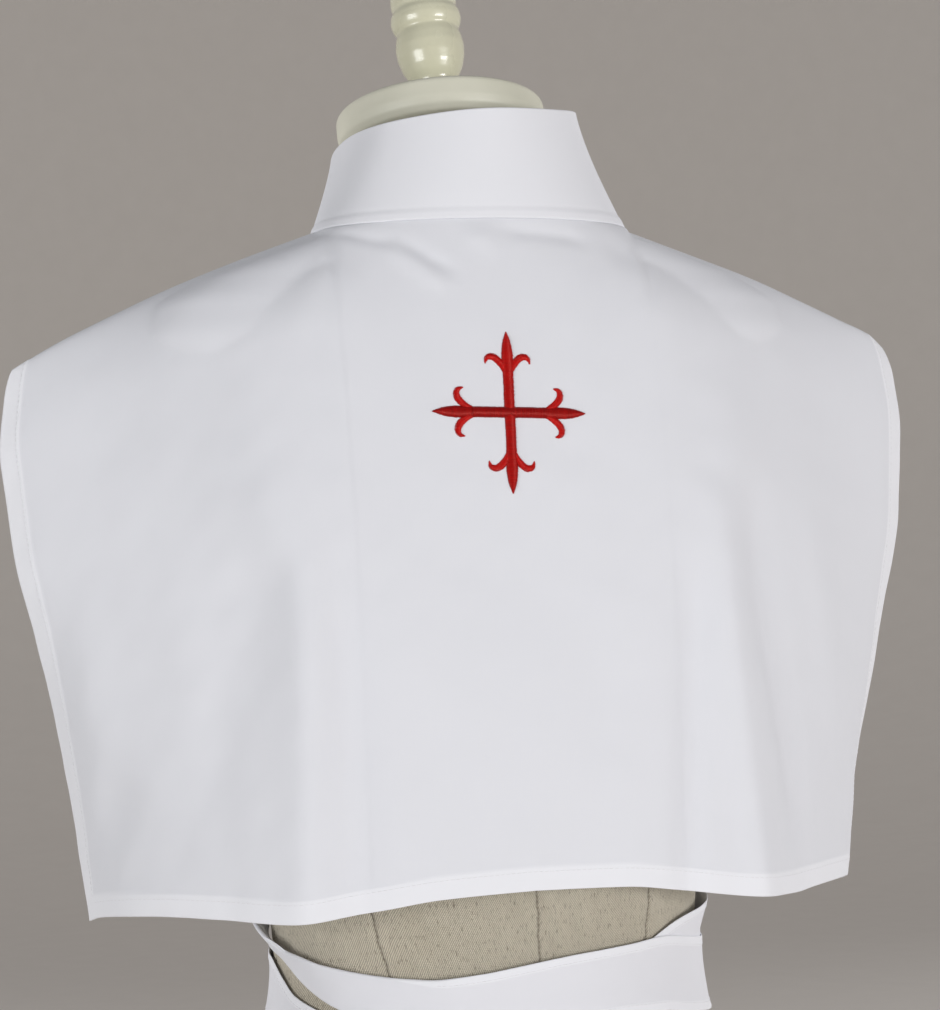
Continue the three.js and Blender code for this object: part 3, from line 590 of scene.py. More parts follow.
amice_cotton = cotton("amice_cotton", (0.710, 0.722, 0.775, 1), (0.785, 0.795, 0.845, 1), 1900.0, 0.6)
tape_cotton = cotton("tape_cotton", (0.725, 0.732, 0.785, 1), (0.78, 0.79, 0.84, 1), 1700.0, 0.6)

# %% [markdown]
# The sewing thread is the same white but smoother and a little glossier.
# The red thread shines. Its colour also carries painted sheen and shade:
# each petal, lens and bar has a lighter or darker tone, set in the mesh,
# for how the satin catches the light, and each stitch a random tone on top.

# %% White sewing thread and red embroidery thread
def thread_finish(name, dark, light, rough, sheen, shine, twist, glint=(1, 1, 1, 1), with_painted_sheen=False):
    material, tree, shader = start_material(
        name, Sheen_Weight=sheen, Sheen_Roughness=0.35, Specular_IOR_Level=shine, Specular_Tint=glint,
    )
    place = tree.nodes.new("ShaderNodeNewGeometry").outputs["Position"]
    patches = use_group(tree, soft_change, Place=place, Patches_per_metre=900.0, Contrast=2.0)
    amount = patches["Mask"]
    # Painted sheen and shade: the mesh's tone lightens or darkens the red as lit satin would, plus a random
    # spread.
    if with_painted_sheen:
        painted_sheen_and_tone = tree.nodes.new("ShaderNodeAttribute")
        painted_sheen_and_tone.attribute_name = "painted_sheen_and_tone"
        own = calculate(tree, "MULTIPLY", painted_sheen_and_tone.outputs["Fac"], 0.75)
        amount = calculate(tree, "ADD", calculate(tree, "MULTIPLY", amount, 0.25), own)
    tree.links.new(blend_colours(tree, amount, dark, light), shader.inputs["Base Color"])
    uneven = calculate(tree, "MULTIPLY", patches["Mask"], 0.12)
    tree.links.new(calculate(tree, "ADD", uneven, rough), shader.inputs["Roughness"])
    fibres = noise(tree, place, twist, 2.0)
    add_bump(tree, shader, fibres, 0.00005, 0.5)
    return material

white_thread = thread_finish(
    "white_sewing_thread", (0.70, 0.70, 0.74, 1), (0.80, 0.80, 0.84, 1),
    rough=0.55, sheen=0.1, shine=0.35, twist=5000.0,
)
red_thread = thread_finish(
    "red_embroidery_thread", (0.15, 0.002, 0.002, 1), (0.60, 0.006, 0.006, 1),
    rough=0.26, sheen=0.0, shine=0.9, twist=4000.0, glint=(1, 0.24, 0.20, 1), with_painted_sheen=True,
)

# %% [markdown]
# The form is covered with raw linen twill: a greige cloth whose threads run
# in fine slanting lines, with darker flecks and slightly soiled patches. The
# seam channels are darker brown along their stitched line.

# %% Raw linen of the form
RIBS_PER_METRE = 620

def make_linen():
    material, tree, shader = start_material(
        "greige_linen", Roughness=0.92, Sheen_Weight=0.15, Sheen_Roughness=0.6, Specular_IOR_Level=0.2,
    )
    flat = tree.nodes.new("ShaderNodeUVMap")
    flat.uv_map = "flat_cloth"
    place = flat.outputs[0]
    split = tree.nodes.new("ShaderNodeSeparateXYZ")
    tree.links.new(place, split.inputs[0])
    slant = calculate(tree, "ADD", split.outputs[0], calculate(tree, "MULTIPLY", split.outputs[1], 0.9))
    twill = ridges(tree, slant, math.pi * RIBS_PER_METRE)
    weave = use_group(tree, woven_threads, Place=place, Threads_per_metre=1150.0, Slub=1.0)
    patches = use_group(tree, soft_change, Place=place, Patches_per_metre=16.0, Contrast=2.6)
    knots = calculate(tree, "SUBTRACT", noise(tree, place, 240.0, 3.0, (3.0, 1.0, 1.0)), 0.57)
    flecks = calculate(tree, "MULTIPLY", calculate(tree, "MAXIMUM", knots, 0.0), 5.0)
    seam = tree.nodes.new("ShaderNodeAttribute")
    seam.attribute_name = "seam"
    yarn = noise(tree, place, 120.0, 3.0, (5.0, 1.0, 1.0))
    uneven = calculate(tree, "ADD", 0.7, calculate(tree, "MULTIPLY", yarn, 0.6))
    ribs = calculate(tree, "MULTIPLY", calculate(tree, "MULTIPLY", twill, uneven), 0.85)
    light = blend_colours(tree, patches["Mask"], (0.72, 0.66, 0.535, 1), (0.80, 0.74, 0.61, 1))
    base = blend_colours(tree, calculate(tree, "ADD", ribs, 0.12), (0.25, 0.217, 0.16, 1), light)
    base = blend_colours(tree, flecks, base, (0.24, 0.205, 0.15, 1))
    # The seam line is made darker brown along the stitching.
    seam_darkening = calculate(tree, "MULTIPLY", seam.outputs["Fac"], 0.85)
    base = blend_colours(tree, seam_darkening, base, (0.13, 0.105, 0.075, 1))
    tree.links.new(base, shader.inputs["Base Color"])
    height = calculate(tree, "ADD", calculate(tree, "MULTIPLY", twill, 0.8), weave["Height"])
    add_bump(tree, shader, height, 0.0003, 1.0)
    return material

greige_linen = make_linen()

# %% [markdown]
# The neck cap is wood under pale satin paint, and the finial has a glossy
# lacquer. Paint is never quite even: it has slow changes of colour, a faint
# orange-peel bump and a roughness that wanders. The backdrop's paper has the
# same recipe, and a little glow of its own stands for light from the room.

# %% Paint, lacquer and metal
def paint(name, low, high, rough, spread, peel, depth, metal=0.0, coat=0.0):
    material, tree, shader = start_material(name, Metallic=metal, Coat_Weight=coat, Coat_Roughness=0.12)
    place = tree.nodes.new("ShaderNodeNewGeometry").outputs["Position"]
    patches = use_group(tree, soft_change, Place=place, Patches_per_metre=22.0, Contrast=2.2)
    tree.links.new(blend_colours(tree, patches["Mask"], low, high), shader.inputs["Base Color"])
    wander = calculate(tree, "ADD", calculate(tree, "MULTIPLY", patches["Mask"], spread), rough)
    tree.links.new(wander, shader.inputs["Roughness"])
    add_bump(tree, shader, noise(tree, place, peel, 3.0), depth, 0.5)
    return material

cap_paint = paint(
    "pale_satin_paint", (0.62, 0.615, 0.51, 1), (0.70, 0.69, 0.585, 1),
    rough=0.42, spread=0.12, peel=260.0, depth=0.0002,
)
finial_lacquer = paint(
    "cream_lacquer", (0.60, 0.59, 0.44, 1), (0.68, 0.67, 0.52, 1),
    rough=0.24, spread=0.08, peel=160.0, depth=0.0002, coat=0.5,
)
stand_metal = paint(
    "grey_stand_metal", (0.26, 0.26, 0.27, 1), (0.33, 0.33, 0.345, 1),
    rough=0.34, spread=0.14, peel=900.0, depth=0.0001, metal=0.9,
)
sweep_paper = paint(
    "sweep_paper", (0.60, 0.575, 0.545, 1), (0.62, 0.595, 0.565, 1),
    rough=0.9, spread=0.05, peel=30.0, depth=0.0002,
)
paper_glow = sweep_paper.node_tree.nodes["Principled BSDF"].inputs
paper_glow["Emission Color"].default_value = (1.0, 0.90, 0.82, 1)
paper_glow["Emission Strength"].default_value = 0.10
sweep.data.materials.append(sweep_paper)
print("materials:", [m.name for m in bpy.data.materials])

# %% [markdown]
# ## One way to dress a piece
# Each new piece takes a finish, rides on the one body, and names the CAD
# node it stands for, which is then hidden.

# %% Dress a piece
def dress(piece, material, slot, *nodes):
    piece.data.materials.clear()
    piece.data.materials.append(material)
    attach(piece, "root")
    if nodes:
        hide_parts(*nodes)
    size = [round(x / MM) for x in piece.dimensions]
    print(f"{piece.name}: {len(piece.data.polygons)} faces, {size} mm")
    return piece

# %% [markdown]
# ## Linen cover of the form
# A form's cover is sewn from long panels: a seam down the middle of the back
# and front, one at each side, and one more between each two. The grid's
# columns follow the seams, and the stitched channel sinks between two soft
# lips where the seam allowance lies under the cloth.

# %% Form cover with sewn seams
SEAM_ANGLES = [-135, -90, -44, -4, 46, 90, 135, 180]
MM_PER_DEGREE = 2.4
SEAM_SLANT = table("z left right", [
    (150, -4, 3), (330, -6, 3.2), (372, -2.6, 1.8), (388, 0, 0.8), (402, 2, -0.2),
    (413, 3.2, -1), (450, 5, -2.6), (620, 6, -3), (836.2, 3, -1),
])

def form_cover():
    seams = np.array([SEAM_ANGLES[-1] - 360] + SEAM_ANGLES, float)
    near = np.array([0.35, 0.8, 1.5, 2.6, 4.2])
    stations = []
    for a, b in zip(seams[:-1], seams[1:]):
        between_seams = np.linspace(a + 6.5, b - 6.5, int((b - a - 13) / 2.2) + 1)
        stations += [a, *(a + near), *between_seams, *(b - near[::-1])]
    turns = np.radians(np.array(stations))
    levels = np.concatenate([
        np.linspace(150, 162, 8)[:-1], np.linspace(162, 330, 40)[:-1], np.linspace(330, 440, 111)[:-1],
        np.linspace(440, 752, 78)[:-1], np.linspace(752, 836.2, 40),
    ])
    degrees = np.degrees(turns)
    away = np.min(np.abs((degrees[:, None] - seams[None, :] + 180) % 360 - 180), axis=1)
    left, right = (between(SEAM_SLANT["z"], SEAM_SLANT[k], levels)[:, None] for k in ("left", "right"))
    slant = left * np.interp(degrees, [-4, 46, 90], [0, 1, 0])
    slant = slant + right * np.interp(degrees, [-90, -44, -4], [0, 1, 0])
    wander = 0.16 * np.sin(levels / 3.3) + 0.12 * np.sin(levels / 1.25 + 2)
    slant = slant + wander[:, None] * np.exp(-((away / 4.5) ** 2))
    points = form_point(turns[None, :] + np.radians(slant), levels[:, None])
    radius = np.hypot(points[..., 0], points[..., 1] - form_slice(levels)["mid"][:, None])
    arc = radius * np.radians(away)[None, :]
    _, normal = form_distance(points)
    sink = -0.8 * np.exp(-((arc / 0.75) ** 2)) + 0.16 * np.exp(-(((arc - 3.4) / 2.0) ** 2))
    pucker = 0.10 * np.sin(levels / 2.6)[:, None] * np.exp(-((arc / 5) ** 2))
    points = points + normal * (sink + pucker - 0.12)[..., None]
    seam = np.exp(-((arc / 0.6) ** 2)) * (0.78 + 0.22 * np.sin(levels * 2 * np.pi / 3.0))[:, None]
    rows, columns = points.shape[:2]
    flat = np.stack([degrees[None, :] * MM_PER_DEGREE + 0 * arc, levels[:, None] + 0 * arc], axis=-1)
    index = np.arange(rows * columns).reshape(rows, columns)
    faces = grid_faces(index, wrap=True).tolist()
    extra, extra_flat = [], []
    for row, flip in ((0, True), (rows - 1, False)):
        last = index[row]
        centre = points[row].mean(axis=0)
        for share in (0.85, 0.5):
            ring = rows * columns + len(extra) + np.arange(columns)
            extra += (centre + (points[row] - centre) * share).tolist()
            extra_flat += flat[row].tolist()
            quads = grid_faces(np.stack([last, ring]), wrap=True)
            faces += (quads[:, ::-1] if flip else quads).tolist()
            last = ring
        middle = rows * columns + len(extra)
        extra.append(centre.tolist())
        extra_flat.append([0.0, 0.0])
        fans = [[middle, int(last[(i + 1) % columns]), int(last[i])] for i in range(columns)]
        faces += [f if flip else f[::-1] for f in fans]
    everything = np.concatenate([points.reshape(-1, 3), np.array(extra)])
    flats = np.concatenate([flat.reshape(-1, 2), np.array(extra_flat)])
    seams_mask = np.concatenate([seam.ravel(), np.zeros(len(extra))])
    return make_piece("form_cover", everything, faces, flats, {"seam": seams_mask})

cover = dress(form_cover(), greige_linen, "form_linen", "form_body")

# %% [markdown]
# ## Turned pieces
# Cap, finial, pole and foot are turned on a lathe, so one helper turns a
# profile about its axis. The profile is smoothed first, with crisp corners
# kept by giving them two near points.

# %% Turn a profile
def turned(name, profile, segments, lean=0.0, up=0.0, tilt=0.0, centre=(0, 0, 0)):
    turns = np.linspace(0, 2 * np.pi, segments + 1)[:-1]
    rows = np.array([p for p in profile if p[0] > 0], float)
    radius, height = rows[:, :1], rows[:, 1:]
    rings = np.stack([radius * np.cos(turns), radius * np.sin(turns), height + 0 * turns], axis=-1)
    points = np.concatenate([rings.reshape(-1, 3), [[0, 0, profile[0][1]], [0, 0, profile[-1][1]]]])
    index = np.arange(len(rows) * segments).reshape(len(rows), segments)
    faces = grid_faces(index, wrap=True).tolist()
    low, high = len(points) - 2, len(points) - 1
    for i in range(segments):
        j = (i + 1) % segments
        faces.append([low, int(index[0, j]), int(index[0, i])])
        faces.append([high, int(index[-1, i]), int(index[-1, j])])
    lean, tilt = math.radians(lean), math.radians(tilt)
    about_y = np.array([
        [math.cos(lean), 0, math.sin(lean)], [0, 1, 0], [-math.sin(lean), 0, math.cos(lean)],
    ])
    about_x = np.array([
        [1, 0, 0], [0, math.cos(tilt), -math.sin(tilt)], [0, math.sin(tilt), math.cos(tilt)],
    ])
    points = (points @ about_y.T + np.array([0, 0, up])) @ about_x.T + np.array(centre)
    return make_piece(name, points, faces)

def fine_profile(rows, step=0.8):
    fine = []
    for (r0, z0), (r1, z1) in zip(rows[:-1], rows[1:]):
        count = max(1, int(math.hypot(r1 - r0, z1 - z0) / step))
        fine += [(mix(r0, r1, i / count), mix(z0, z1, i / count)) for i in range(count)]
    fine.append(rows[-1])
    smooth = [fine[0]]
    for a, b, c in zip(fine[:-2], fine[1:-1], fine[2:]):
        smooth.append(tuple((p + 2 * q + r) / 4 for p, q, r in zip(a, b, c)) if min(a[0], c[0]) > 0 else b)
    return smooth + [fine[-1]]

# %% Neck cap and finial
CAP_CENTRE, CAP_TILT, CAP_HEIGHT = (0, -33.2, 836.2), 13.7, 20
CAP_PROFILE = [
    (0, 0), (51, 0), (55.5, 1.3), (58.6, 4.6), (59.5, 9), (59.5, 17.4), (58.6, 19.2), (56.5, 20), (0, 20),
]
FINIAL_PROFILE = [
    (0, 0), (17, 0), (17, 4), (14.6, 7), (12.2, 11), (11.7, 15), (12.4, 18), (15.2, 21.8), (17.4, 26),
    (19.2, 32.4), (19.8, 38.5), (19, 44), (17.5, 48.6), (19.3, 50.8), (20.4, 54.6), (20, 58.6), (18.2, 62),
    (18.9, 65), (18.8, 70), (17.4, 77), (13.6, 84), (7.6, 89.4), (0, 91.5),
]
cap = turned("neck_cap", fine_profile(CAP_PROFILE), 160, 0, 0.4, CAP_TILT, CAP_CENTRE)
dress(cap, cap_paint, "cap_paint", "form_neck_cap")
finial = turned("finial", fine_profile(FINIAL_PROFILE), 96, 3, CAP_HEIGHT + 1.7, CAP_TILT, CAP_CENTRE)
dress(finial, finial_lacquer, "finial_lacquer", "form_finial")

# %% Pole and foot
FOOT_PROFILE = [(0, 0), (148, 0), (150, 2), (150, 8), (144, 12), (110, 15), (50, 19), (34, 22), (0, 22)]
POLE_PROFILE = [(0, 22.3), (26, 22.3), (26, 30), (17, 36), (17, 149.7), (0, 149.7)]
dress(turned("stand_foot", fine_profile(FOOT_PROFILE, 1.5), 160), stand_metal, "stand_metal", "form_foot")
dress(turned("stand_pole", fine_profile(POLE_PROFILE, 1.2), 64), stand_metal, "stand_metal", "form_pole")

# %% [markdown]
# ## The amice's body
# The back and the two fronts are one cloth, so their grids are welded along
# the shoulders. Columns stand closer together near the side edges, because
# the turned hem makes a small step there. The folds are added to the grid,
# and the result is lifted off the form again where a trough came too near.

# %% Folds of the back and the fronts, in millimetres on the flat cloth
BACK_FOLDS = [
    ([(137, 130), (127, 172), (118, 205), (117, 250), (119, 310), (121, 395)],
     [0, 3.0, 5.0, 5.6, 5.2, 4.6], 13.5),
    ([(136, 172), (143, 207), (154, 235), (168, 275), (178, 330)], [0, -2.8, -3.6, -2.6, 0], 23),
    ([(98, 210), (94, 260), (92, 320), (94, 395)], [0, -1.8, -2.4, -2.2], 13),
    ([(-114, 150), (-118, 193), (-120, 247), (-126, 310), (-138, 392)], [0, 3.6, 5.2, 5.4, 4.8], 14),
    ([(-104, 195), (-97, 253), (-91, 319), (-87, 392)], [0, -3.2, -4.2, -3.6], 10.5),
    ([(-146, 128), (-146, 194), (-153, 239), (-166, 293), (-177, 350)], [0, -3.8, -4.8, -4.4, -2.2], 13),
    ([(-184, 100), (-190, 171), (-203, 215), (-208, 290)], [0, 2.4, 2.4, 0], 17),
    ([(-228, 60), (-226, 130), (-222, 200)], [0, -1.2, 0], 18),
    ([(220, 76), (200, 108), (172, 122)], [0, 0.9, 0], 22),
    ([(160, 150), (162, 200), (176, 240)], [0, -1.4, 0], 20),
    ([(226, 230), (231, 262), (222, 296)], [0, -2.4, 0], 15),
    ([(236, 120), (240, 190), (238, 250)], [0, 1.6, 0], 16),
    ([(0, 200), (8, 260), (4, 330)], [0, 1.3, 0], 34),
]
NECK_FOLDS = [
    ([(58, 5), (43, 17), (32, 25), (17, 35)], [0, -1.5, -1.6, 0], 4.0),
    ([(64, 12), (47, 24), (36, 34), (24, 44)], [0, 1.5, 1.5, 0], 5.0),
    ([(2, 6), (-18, 8), (-42, 10), (-62, 17)], [0, -1.4, -1.5, 0], 4.4),
    ([(88, 10), (76, 10), (62, 12), (50, 14)], [0, -1.2, -1.3, 0], 4.2),
    ([(20, 5), (6, 12), (-4, 24)], [0, 1.3, 0], 6.0),
    ([(-60, 6), (-74, 22), (-92, 44)], [0, -1.2, 0], 7.0),
    ([(90, 20), (104, 30), (126, 46)], [0, -1.2, 0], 8.0),
    ([(76, 30), (96, 52), (122, 84)], [0, 1.3, 0], 11.0),
]
FRONT_FOLDS = [
    ([(60, 60), (66, 100), (70, 150)], [0, 1.8, 2.4], 18),
    ([(104, 60), (112, 110), (118, 180)], [0, -0.6, -0.9], 20),
    ([(160, 50), (170, 95), (178, 150)], [0, 2.0, 2.4], 17),
    ([(30, 20), (36, 70), (40, 120)], [0, -1.2, 0], 12),
    ([(214, 30), (222, 70), (230, 110)], [0, -1.4, -1.6], 14),
]

# %% Grids of the body
BACK_RUN, FRONT_RUN = 375, 165
EDGE_STEPS = np.array([0, 0.25, 0.7, 1.4, 3.2, 6, 9, 11.2, 12.0, 12.8, 14.2])
across = np.concatenate([
    np.linspace(0, NECK_HALF, 32), np.linspace(NECK_HALF, HALF_WIDTH - 16.5, 58)[1:],
    HALF_WIDTH - EDGE_STEPS[::-1],
])

def rows_down(close_to, close_rows, hem_at, rows, run):
    close = np.linspace(0, close_to, close_rows)[:-1] ** 1.25 * close_to ** -0.25
    return np.concatenate([close, np.linspace(close_to, hem_at, rows), 1 - EDGE_STEPS[::-1] / run])

down_back = rows_down(0.17, 34, 0.955, 84, BACK_RUN)
down_front = rows_down(0.2, 18, 0.90, 40, FRONT_RUN)

def hem_amount(edge_distance):
    return soft_step((12.9 - edge_distance) / 1.1)

def body_grid(s_list, v_list, front, hand=None):
    if front:
        base = cloth_point(s_list[None, :], v_list[:, None], hand, True)
    else:
        left = cloth_point(np.abs(s_list)[None, :], v_list[:, None], 1, False)
        right = cloth_point(np.abs(s_list)[None, :], v_list[:, None], -1, False)
        base = np.where((s_list >= 0)[None, :, None], left, right)
    run = np.linalg.norm(np.diff(base, axis=0), axis=-1)
    down = np.concatenate([np.zeros((1, len(s_list))), np.cumsum(run, axis=0)])
    place = np.stack([s_list[None, :] + 0 * down, down], axis=-1)
    aside = HALF_WIDTH - np.abs(s_list)[None, :] + 0 * down
    if front:
        aside = np.minimum(aside, s_list[None, :] + FRONT_OVERLAP + 0 * down)
    below = down[-1:] - down
    return base, place, np.minimum(aside, below)

def folded(base, place, front, hand):
    lift = 0
    if front:
        for path, height, width in FRONT_FOLDS:
            shifted = [(x + (6 if hand > 0 else -4), y) for x, y in path]
            lift = lift + crease(place, shifted, height, width)
        below = place[-1:, :, 1] - place[..., 1]
        lift = lift + 1.8 * np.exp(-((place[..., 0] / 34) ** 2)) * soft_step((46 - below) / 26)
    else:
        for path, height, width in BACK_FOLDS + NECK_FOLDS:
            lift = lift + crease(place, path, height, width)
    calm = soft_step(place[..., 1] / 26) * (0.45 + 0.55 * soft_step((place[..., 1] - 60) / 90))
    small = 0.45 * unevenness(base, 58, 3) + 0.22 * unevenness(base, 24, 8)
    lift = lift * soft_step(place[..., 1] / 4) + small * calm
    way = unit(np.cross(np.gradient(base, axis=0), np.gradient(base, axis=1)))
    _, out = form_distance(base)
    way = way * np.sign((way * out).sum(axis=-1, keepdims=True))
    lap = 0.0
    if front and hand > 0:
        lap = OVERLAP_LIFT * (1 - soft_step((place[..., 0] - FRONT_OVERLAP) / LAP_FADE))
    return lift_off_form(base + way * lift[..., None], CLEARANCE + 0.45 + lap)

# %% Weld the grids and give them thickness
CLOTH_HALF, HEM_OUTSIDE, HEM_INSIDE = 0.28, 0.22, 0.75

class ClothParts:
    def __init__(self):
        self.points, self.flat, self.edge, self.quads, self.found = [], [], [], [], {}

    def add(self, grid, flat, edge, flip):
        index = np.zeros(grid.shape[:2], dtype=int)
        for i in range(grid.shape[0]):
            for j in range(grid.shape[1]):
                key = tuple(np.round(grid[i, j] * 50).astype(int))
                if key not in self.found:
                    self.found[key] = len(self.points)
                    self.points.append(grid[i, j])
                    self.flat.append(flat[i, j])
                    self.edge.append(edge[i, j])
                index[i, j] = self.found[key]
        quads = grid_faces(index)
        self.quads.append(quads[:, ::-1] if flip else quads)
        return index

def make_body():
    parts = ClothParts()
    s_back = np.concatenate([-across[:0:-1], across])
    base, place, edge = body_grid(s_back, down_back, False)
    back = folded(base, place, False, 0)
    index = parts.add(back, place, edge, False)
    s_front = np.concatenate([-FRONT_OVERLAP + EDGE_STEPS, np.linspace(-8, 0, 4)[:-1], across])
    for hand in (1, -1):
        base, place, edge = body_grid(s_front, down_front, True, hand)
        grid = folded(base, place, True, hand)
        parts.add(grid, place * np.array([hand, -1]), edge, hand > 0)
    points, edge = np.array(parts.points), np.array(parts.edge)
    quads = np.concatenate(parts.quads)
    hem = hem_amount(edge)
    rounded = round_edge(edge, 0.8, 0.3)
    out = (CLOTH_HALF + HEM_OUTSIDE * hem) * rounded
    inside = (CLOTH_HALF + HEM_INSIDE * hem) * rounded
    shell, faces = close_sheet(points, quads, out, inside)
    piece = make_piece("amice_body_cloth", shell, faces.tolist(), both(parts.flat), {"layers": both(hem)})
    return piece, s_back, shell[: len(points)][index]

body, BACK_ACROSS, BACK_OUTER = make_body()
dress(body, amice_cotton, "amice_cloth", "amice_body")

# %% [markdown]
# Later pieces lie on the back, so here is a way to ask for a point of its
# outer face and the way out from there.

# %% Points on the outside of the back
BACK_NORMALS = unit(np.cross(np.gradient(BACK_OUTER, axis=0), np.gradient(BACK_OUTER, axis=1)))
BACK_NORMALS = BACK_NORMALS * np.sign(BACK_NORMALS[..., 1:2] + 1e-9)

def on_back(s, v):
    i = np.clip(np.interp(v, down_back, np.arange(len(down_back))), 0, len(down_back) - 1.001)
    j = np.clip(np.interp(s, BACK_ACROSS, np.arange(len(BACK_ACROSS))), 0, len(BACK_ACROSS) - 1.001)
    i0, j0 = i.astype(int), j.astype(int)
    fi, fj = (i - i0)[..., None], (j - j0)[..., None]
    def pick(grid):
        top = mix(grid[i0, j0], grid[i0, j0 + 1], fj)
        return mix(top, mix(grid[i0 + 1, j0], grid[i0 + 1, j0 + 1], fj), fi)
    return pick(BACK_OUTER), unit(pick(BACK_NORMALS))

def back_at(x, z):
    s = np.array(x, float)
    for _ in range(3):
        low, high = np.zeros_like(s), np.ones_like(s)
        for _ in range(22):
            v = (low + high) / 2
            above = on_back(s, v)[0][..., 2] > z
            low, high = np.where(above, v, low), np.where(above, high, v)
        s = s + (x - on_back(s, v)[0][..., 0])
    return on_back(s, v)

beside_cross = back_at(np.array([0.5]), np.array([679.0]))[0]
print("back near the cross's middle:", np.round(beside_cross, 1).tolist())

# %% [markdown]
# ## Collar
# The stand collar is two layers of cloth turned right side out, so its top
# edge is a fold and it stands by itself. It is sewn to the neckline, where
# the seam inside makes a narrow ridge. Its left end laps over the right one.

# %% Collar
COLLAR_TALL, COLLAR_MM_PER_DEGREE = 66.0, 1.36
COLLAR_HALF, COLLAR_LAYERS = 0.75, 0.55
COLLAR_TOP = table("turn half y z", [
    (-200, 66, -93, 812), (-180, 66, -95, 811), (-120, 67, -60, 824), (-90, 65.5, -3, 849),
    (-45, 67, 45, 846.5), (0, 68, 62, 845), (45, 68, 44, 840), (90, 68.5, -4, 831),
    (120, 67, -60, 816), (180, 66, -95, 809), (200, 66, -93, 809),
])

def collar_point(turn, up):
    angle = np.radians(turn)
    base = neckline_point(angle)
    half, y, z = (between(COLLAR_TOP["turn"], COLLAR_TOP[k], turn) for k in ("half", "y", "z"))
    flare = 1 - np.maximum(0, 1 - up) ** 1.25
    lapped = OVERLAP_LIFT * soft_step((turn - 150) / 15) + 0.45 * soft_step(1 - up * 12)
    x = mix(base[..., 0], half * np.sin(angle), flare) + np.sin(angle) * lapped
    y = mix(base[..., 1], y, flare) + np.cos(angle) * lapped
    return np.stack([x, y, mix(base[..., 2] - 0.1, z, up)], axis=-1)

def make_collar():
    end_turns = np.array([189.0, 189.6, 189.9, 190])
    turns = np.concatenate([-end_turns[::-1], np.linspace(-188, 188, 300), end_turns])
    at_seam = [0, 0.006, 0.018, 0.035, 0.05, 0.065, 0.08, 0.095, 0.11, 0.13]
    at_fold = [0.95, 0.965, 0.98, 0.99, 0.996, 1]
    ups = np.concatenate([at_seam, np.linspace(0.16, 0.93, 30), at_fold])
    grid = collar_point(turns[None, :] + 0 * ups[:, None], ups[:, None] + 0 * turns[None, :])
    up_mm, side_mm = ups * COLLAR_TALL, turns * COLLAR_MM_PER_DEGREE
    place = np.stack(np.broadcast_arrays(side_mm[None, :], up_mm[:, None]), axis=-1)
    way = unit(np.cross(np.gradient(grid, axis=1), np.gradient(grid, axis=0)))
    centre = np.array([0, -15, 0])
    way = way * np.sign((way * (grid - centre) * np.array([1, 1, 0])).sum(axis=-1, keepdims=True))
    ridge = 0.38 * np.exp(-(((up_mm - 4.2) / 1.7) ** 2)) - 0.12 * np.exp(-(((up_mm - 7.4) / 1.5) ** 2))
    waves = 0.28 * unevenness(grid, 46, 5) * soft_step(up_mm / 20)[:, None]
    grid = grid + way * (ridge[:, None] + waves)[..., None]
    end = np.minimum(np.abs(turns - turns[0]), np.abs(turns[-1] - turns)) * COLLAR_MM_PER_DEGREE
    edge = np.minimum(np.minimum(up_mm[:, None], (COLLAR_TALL - up_mm)[:, None]), end[None, :])
    wall = COLLAR_HALF * round_edge(edge, 0.8, 0.3).ravel()
    index = np.arange(grid.shape[0] * grid.shape[1]).reshape(grid.shape[:2])
    quads = grid_faces(index)[:, ::-1]
    points = grid.reshape(-1, 3)
    normals = face_normals(points, quads, len(points))
    if (normals * way.reshape(-1, 3)).sum(axis=-1).mean() < 0:
        quads = quads[:, ::-1]
    shell, faces = close_sheet(points, quads, wall, wall)
    layers = {"layers": np.full(len(shell), COLLAR_LAYERS)}
    return make_piece("stand_collar", shell, faces.tolist(), both(place.reshape(-1, 2)), layers)

collar = dress(make_collar(), amice_cotton, "amice_cloth", "collar")

# %% [markdown]
# ## Satin-stitched cross
# The cross is embroidered in satin stitch: close threads that run from one
# edge of a shape to the other over a little padding. Each thread is built as
# a rod that rises out of the cloth, crests in the middle and dives in again.
# Bars have threads straight across, petals have threads that fan with the
# curl. The outline is drawn once for one arm and turned for the others.

# %% Outline of one arm
CROSS = {"height": 87.0, "width": 84.4, "bar": 5.9, "z": 678.5, "x": 0.5, "tilt": -2.1}
THREAD_RADIUS, THREAD_PITCH = 0.215, 0.36
LENS_SHAPE = table("back half", [
    (0, 0.15), (3, 1.35), (6.2, 2.4), (9.8, 3.0), (13, 3.25), (17, 3.15), (24, 2.9),
])
PETAL = table("aside back half", [
    (1.8, 21.8, 1.0), (2.9, 19.0, 1.5), (4.4, 16.5, 1.9), (6.3, 14.6, 1.95),
    (8.6, 13.5, 1.85), (10.6, 13.8, 1.55), (11.9, 15.3, 1.0), (12.3, 17.2, 0.2),
])
LENS_CREST, PETAL_CREST = 1.25, 0.9

def rows_across(middle, half):
    run = length_along(middle)
    at = np.arange(THREAD_PITCH / 2, run[-1], THREAD_PITCH)
    centre = np.stack([between(run, middle[:, k], at) for k in (0, 1)], axis=-1)
    wide = between(run, half, at)
    ahead = unit(np.gradient(centre, axis=0))
    side = np.stack([-ahead[:, 1], ahead[:, 0]], axis=-1)
    return centre - side * wide[:, None], centre + side * wide[:, None], wide

def arm_stitches(reach, spread):
    backs = np.linspace(0, 24, 40)
    lens = np.stack([0 * backs, reach - backs], axis=-1)
    halves = between(LENS_SHAPE["back"], LENS_SHAPE["half"], backs)
    parts = [(rows_across(lens, halves), LENS_CREST)]
    for flip in (1, -1):
        line = np.stack([PETAL["aside"] * flip * spread, reach - PETAL["back"]], axis=-1)
        parts.append((rows_across(line, PETAL["half"]), PETAL_CREST))
    return parts

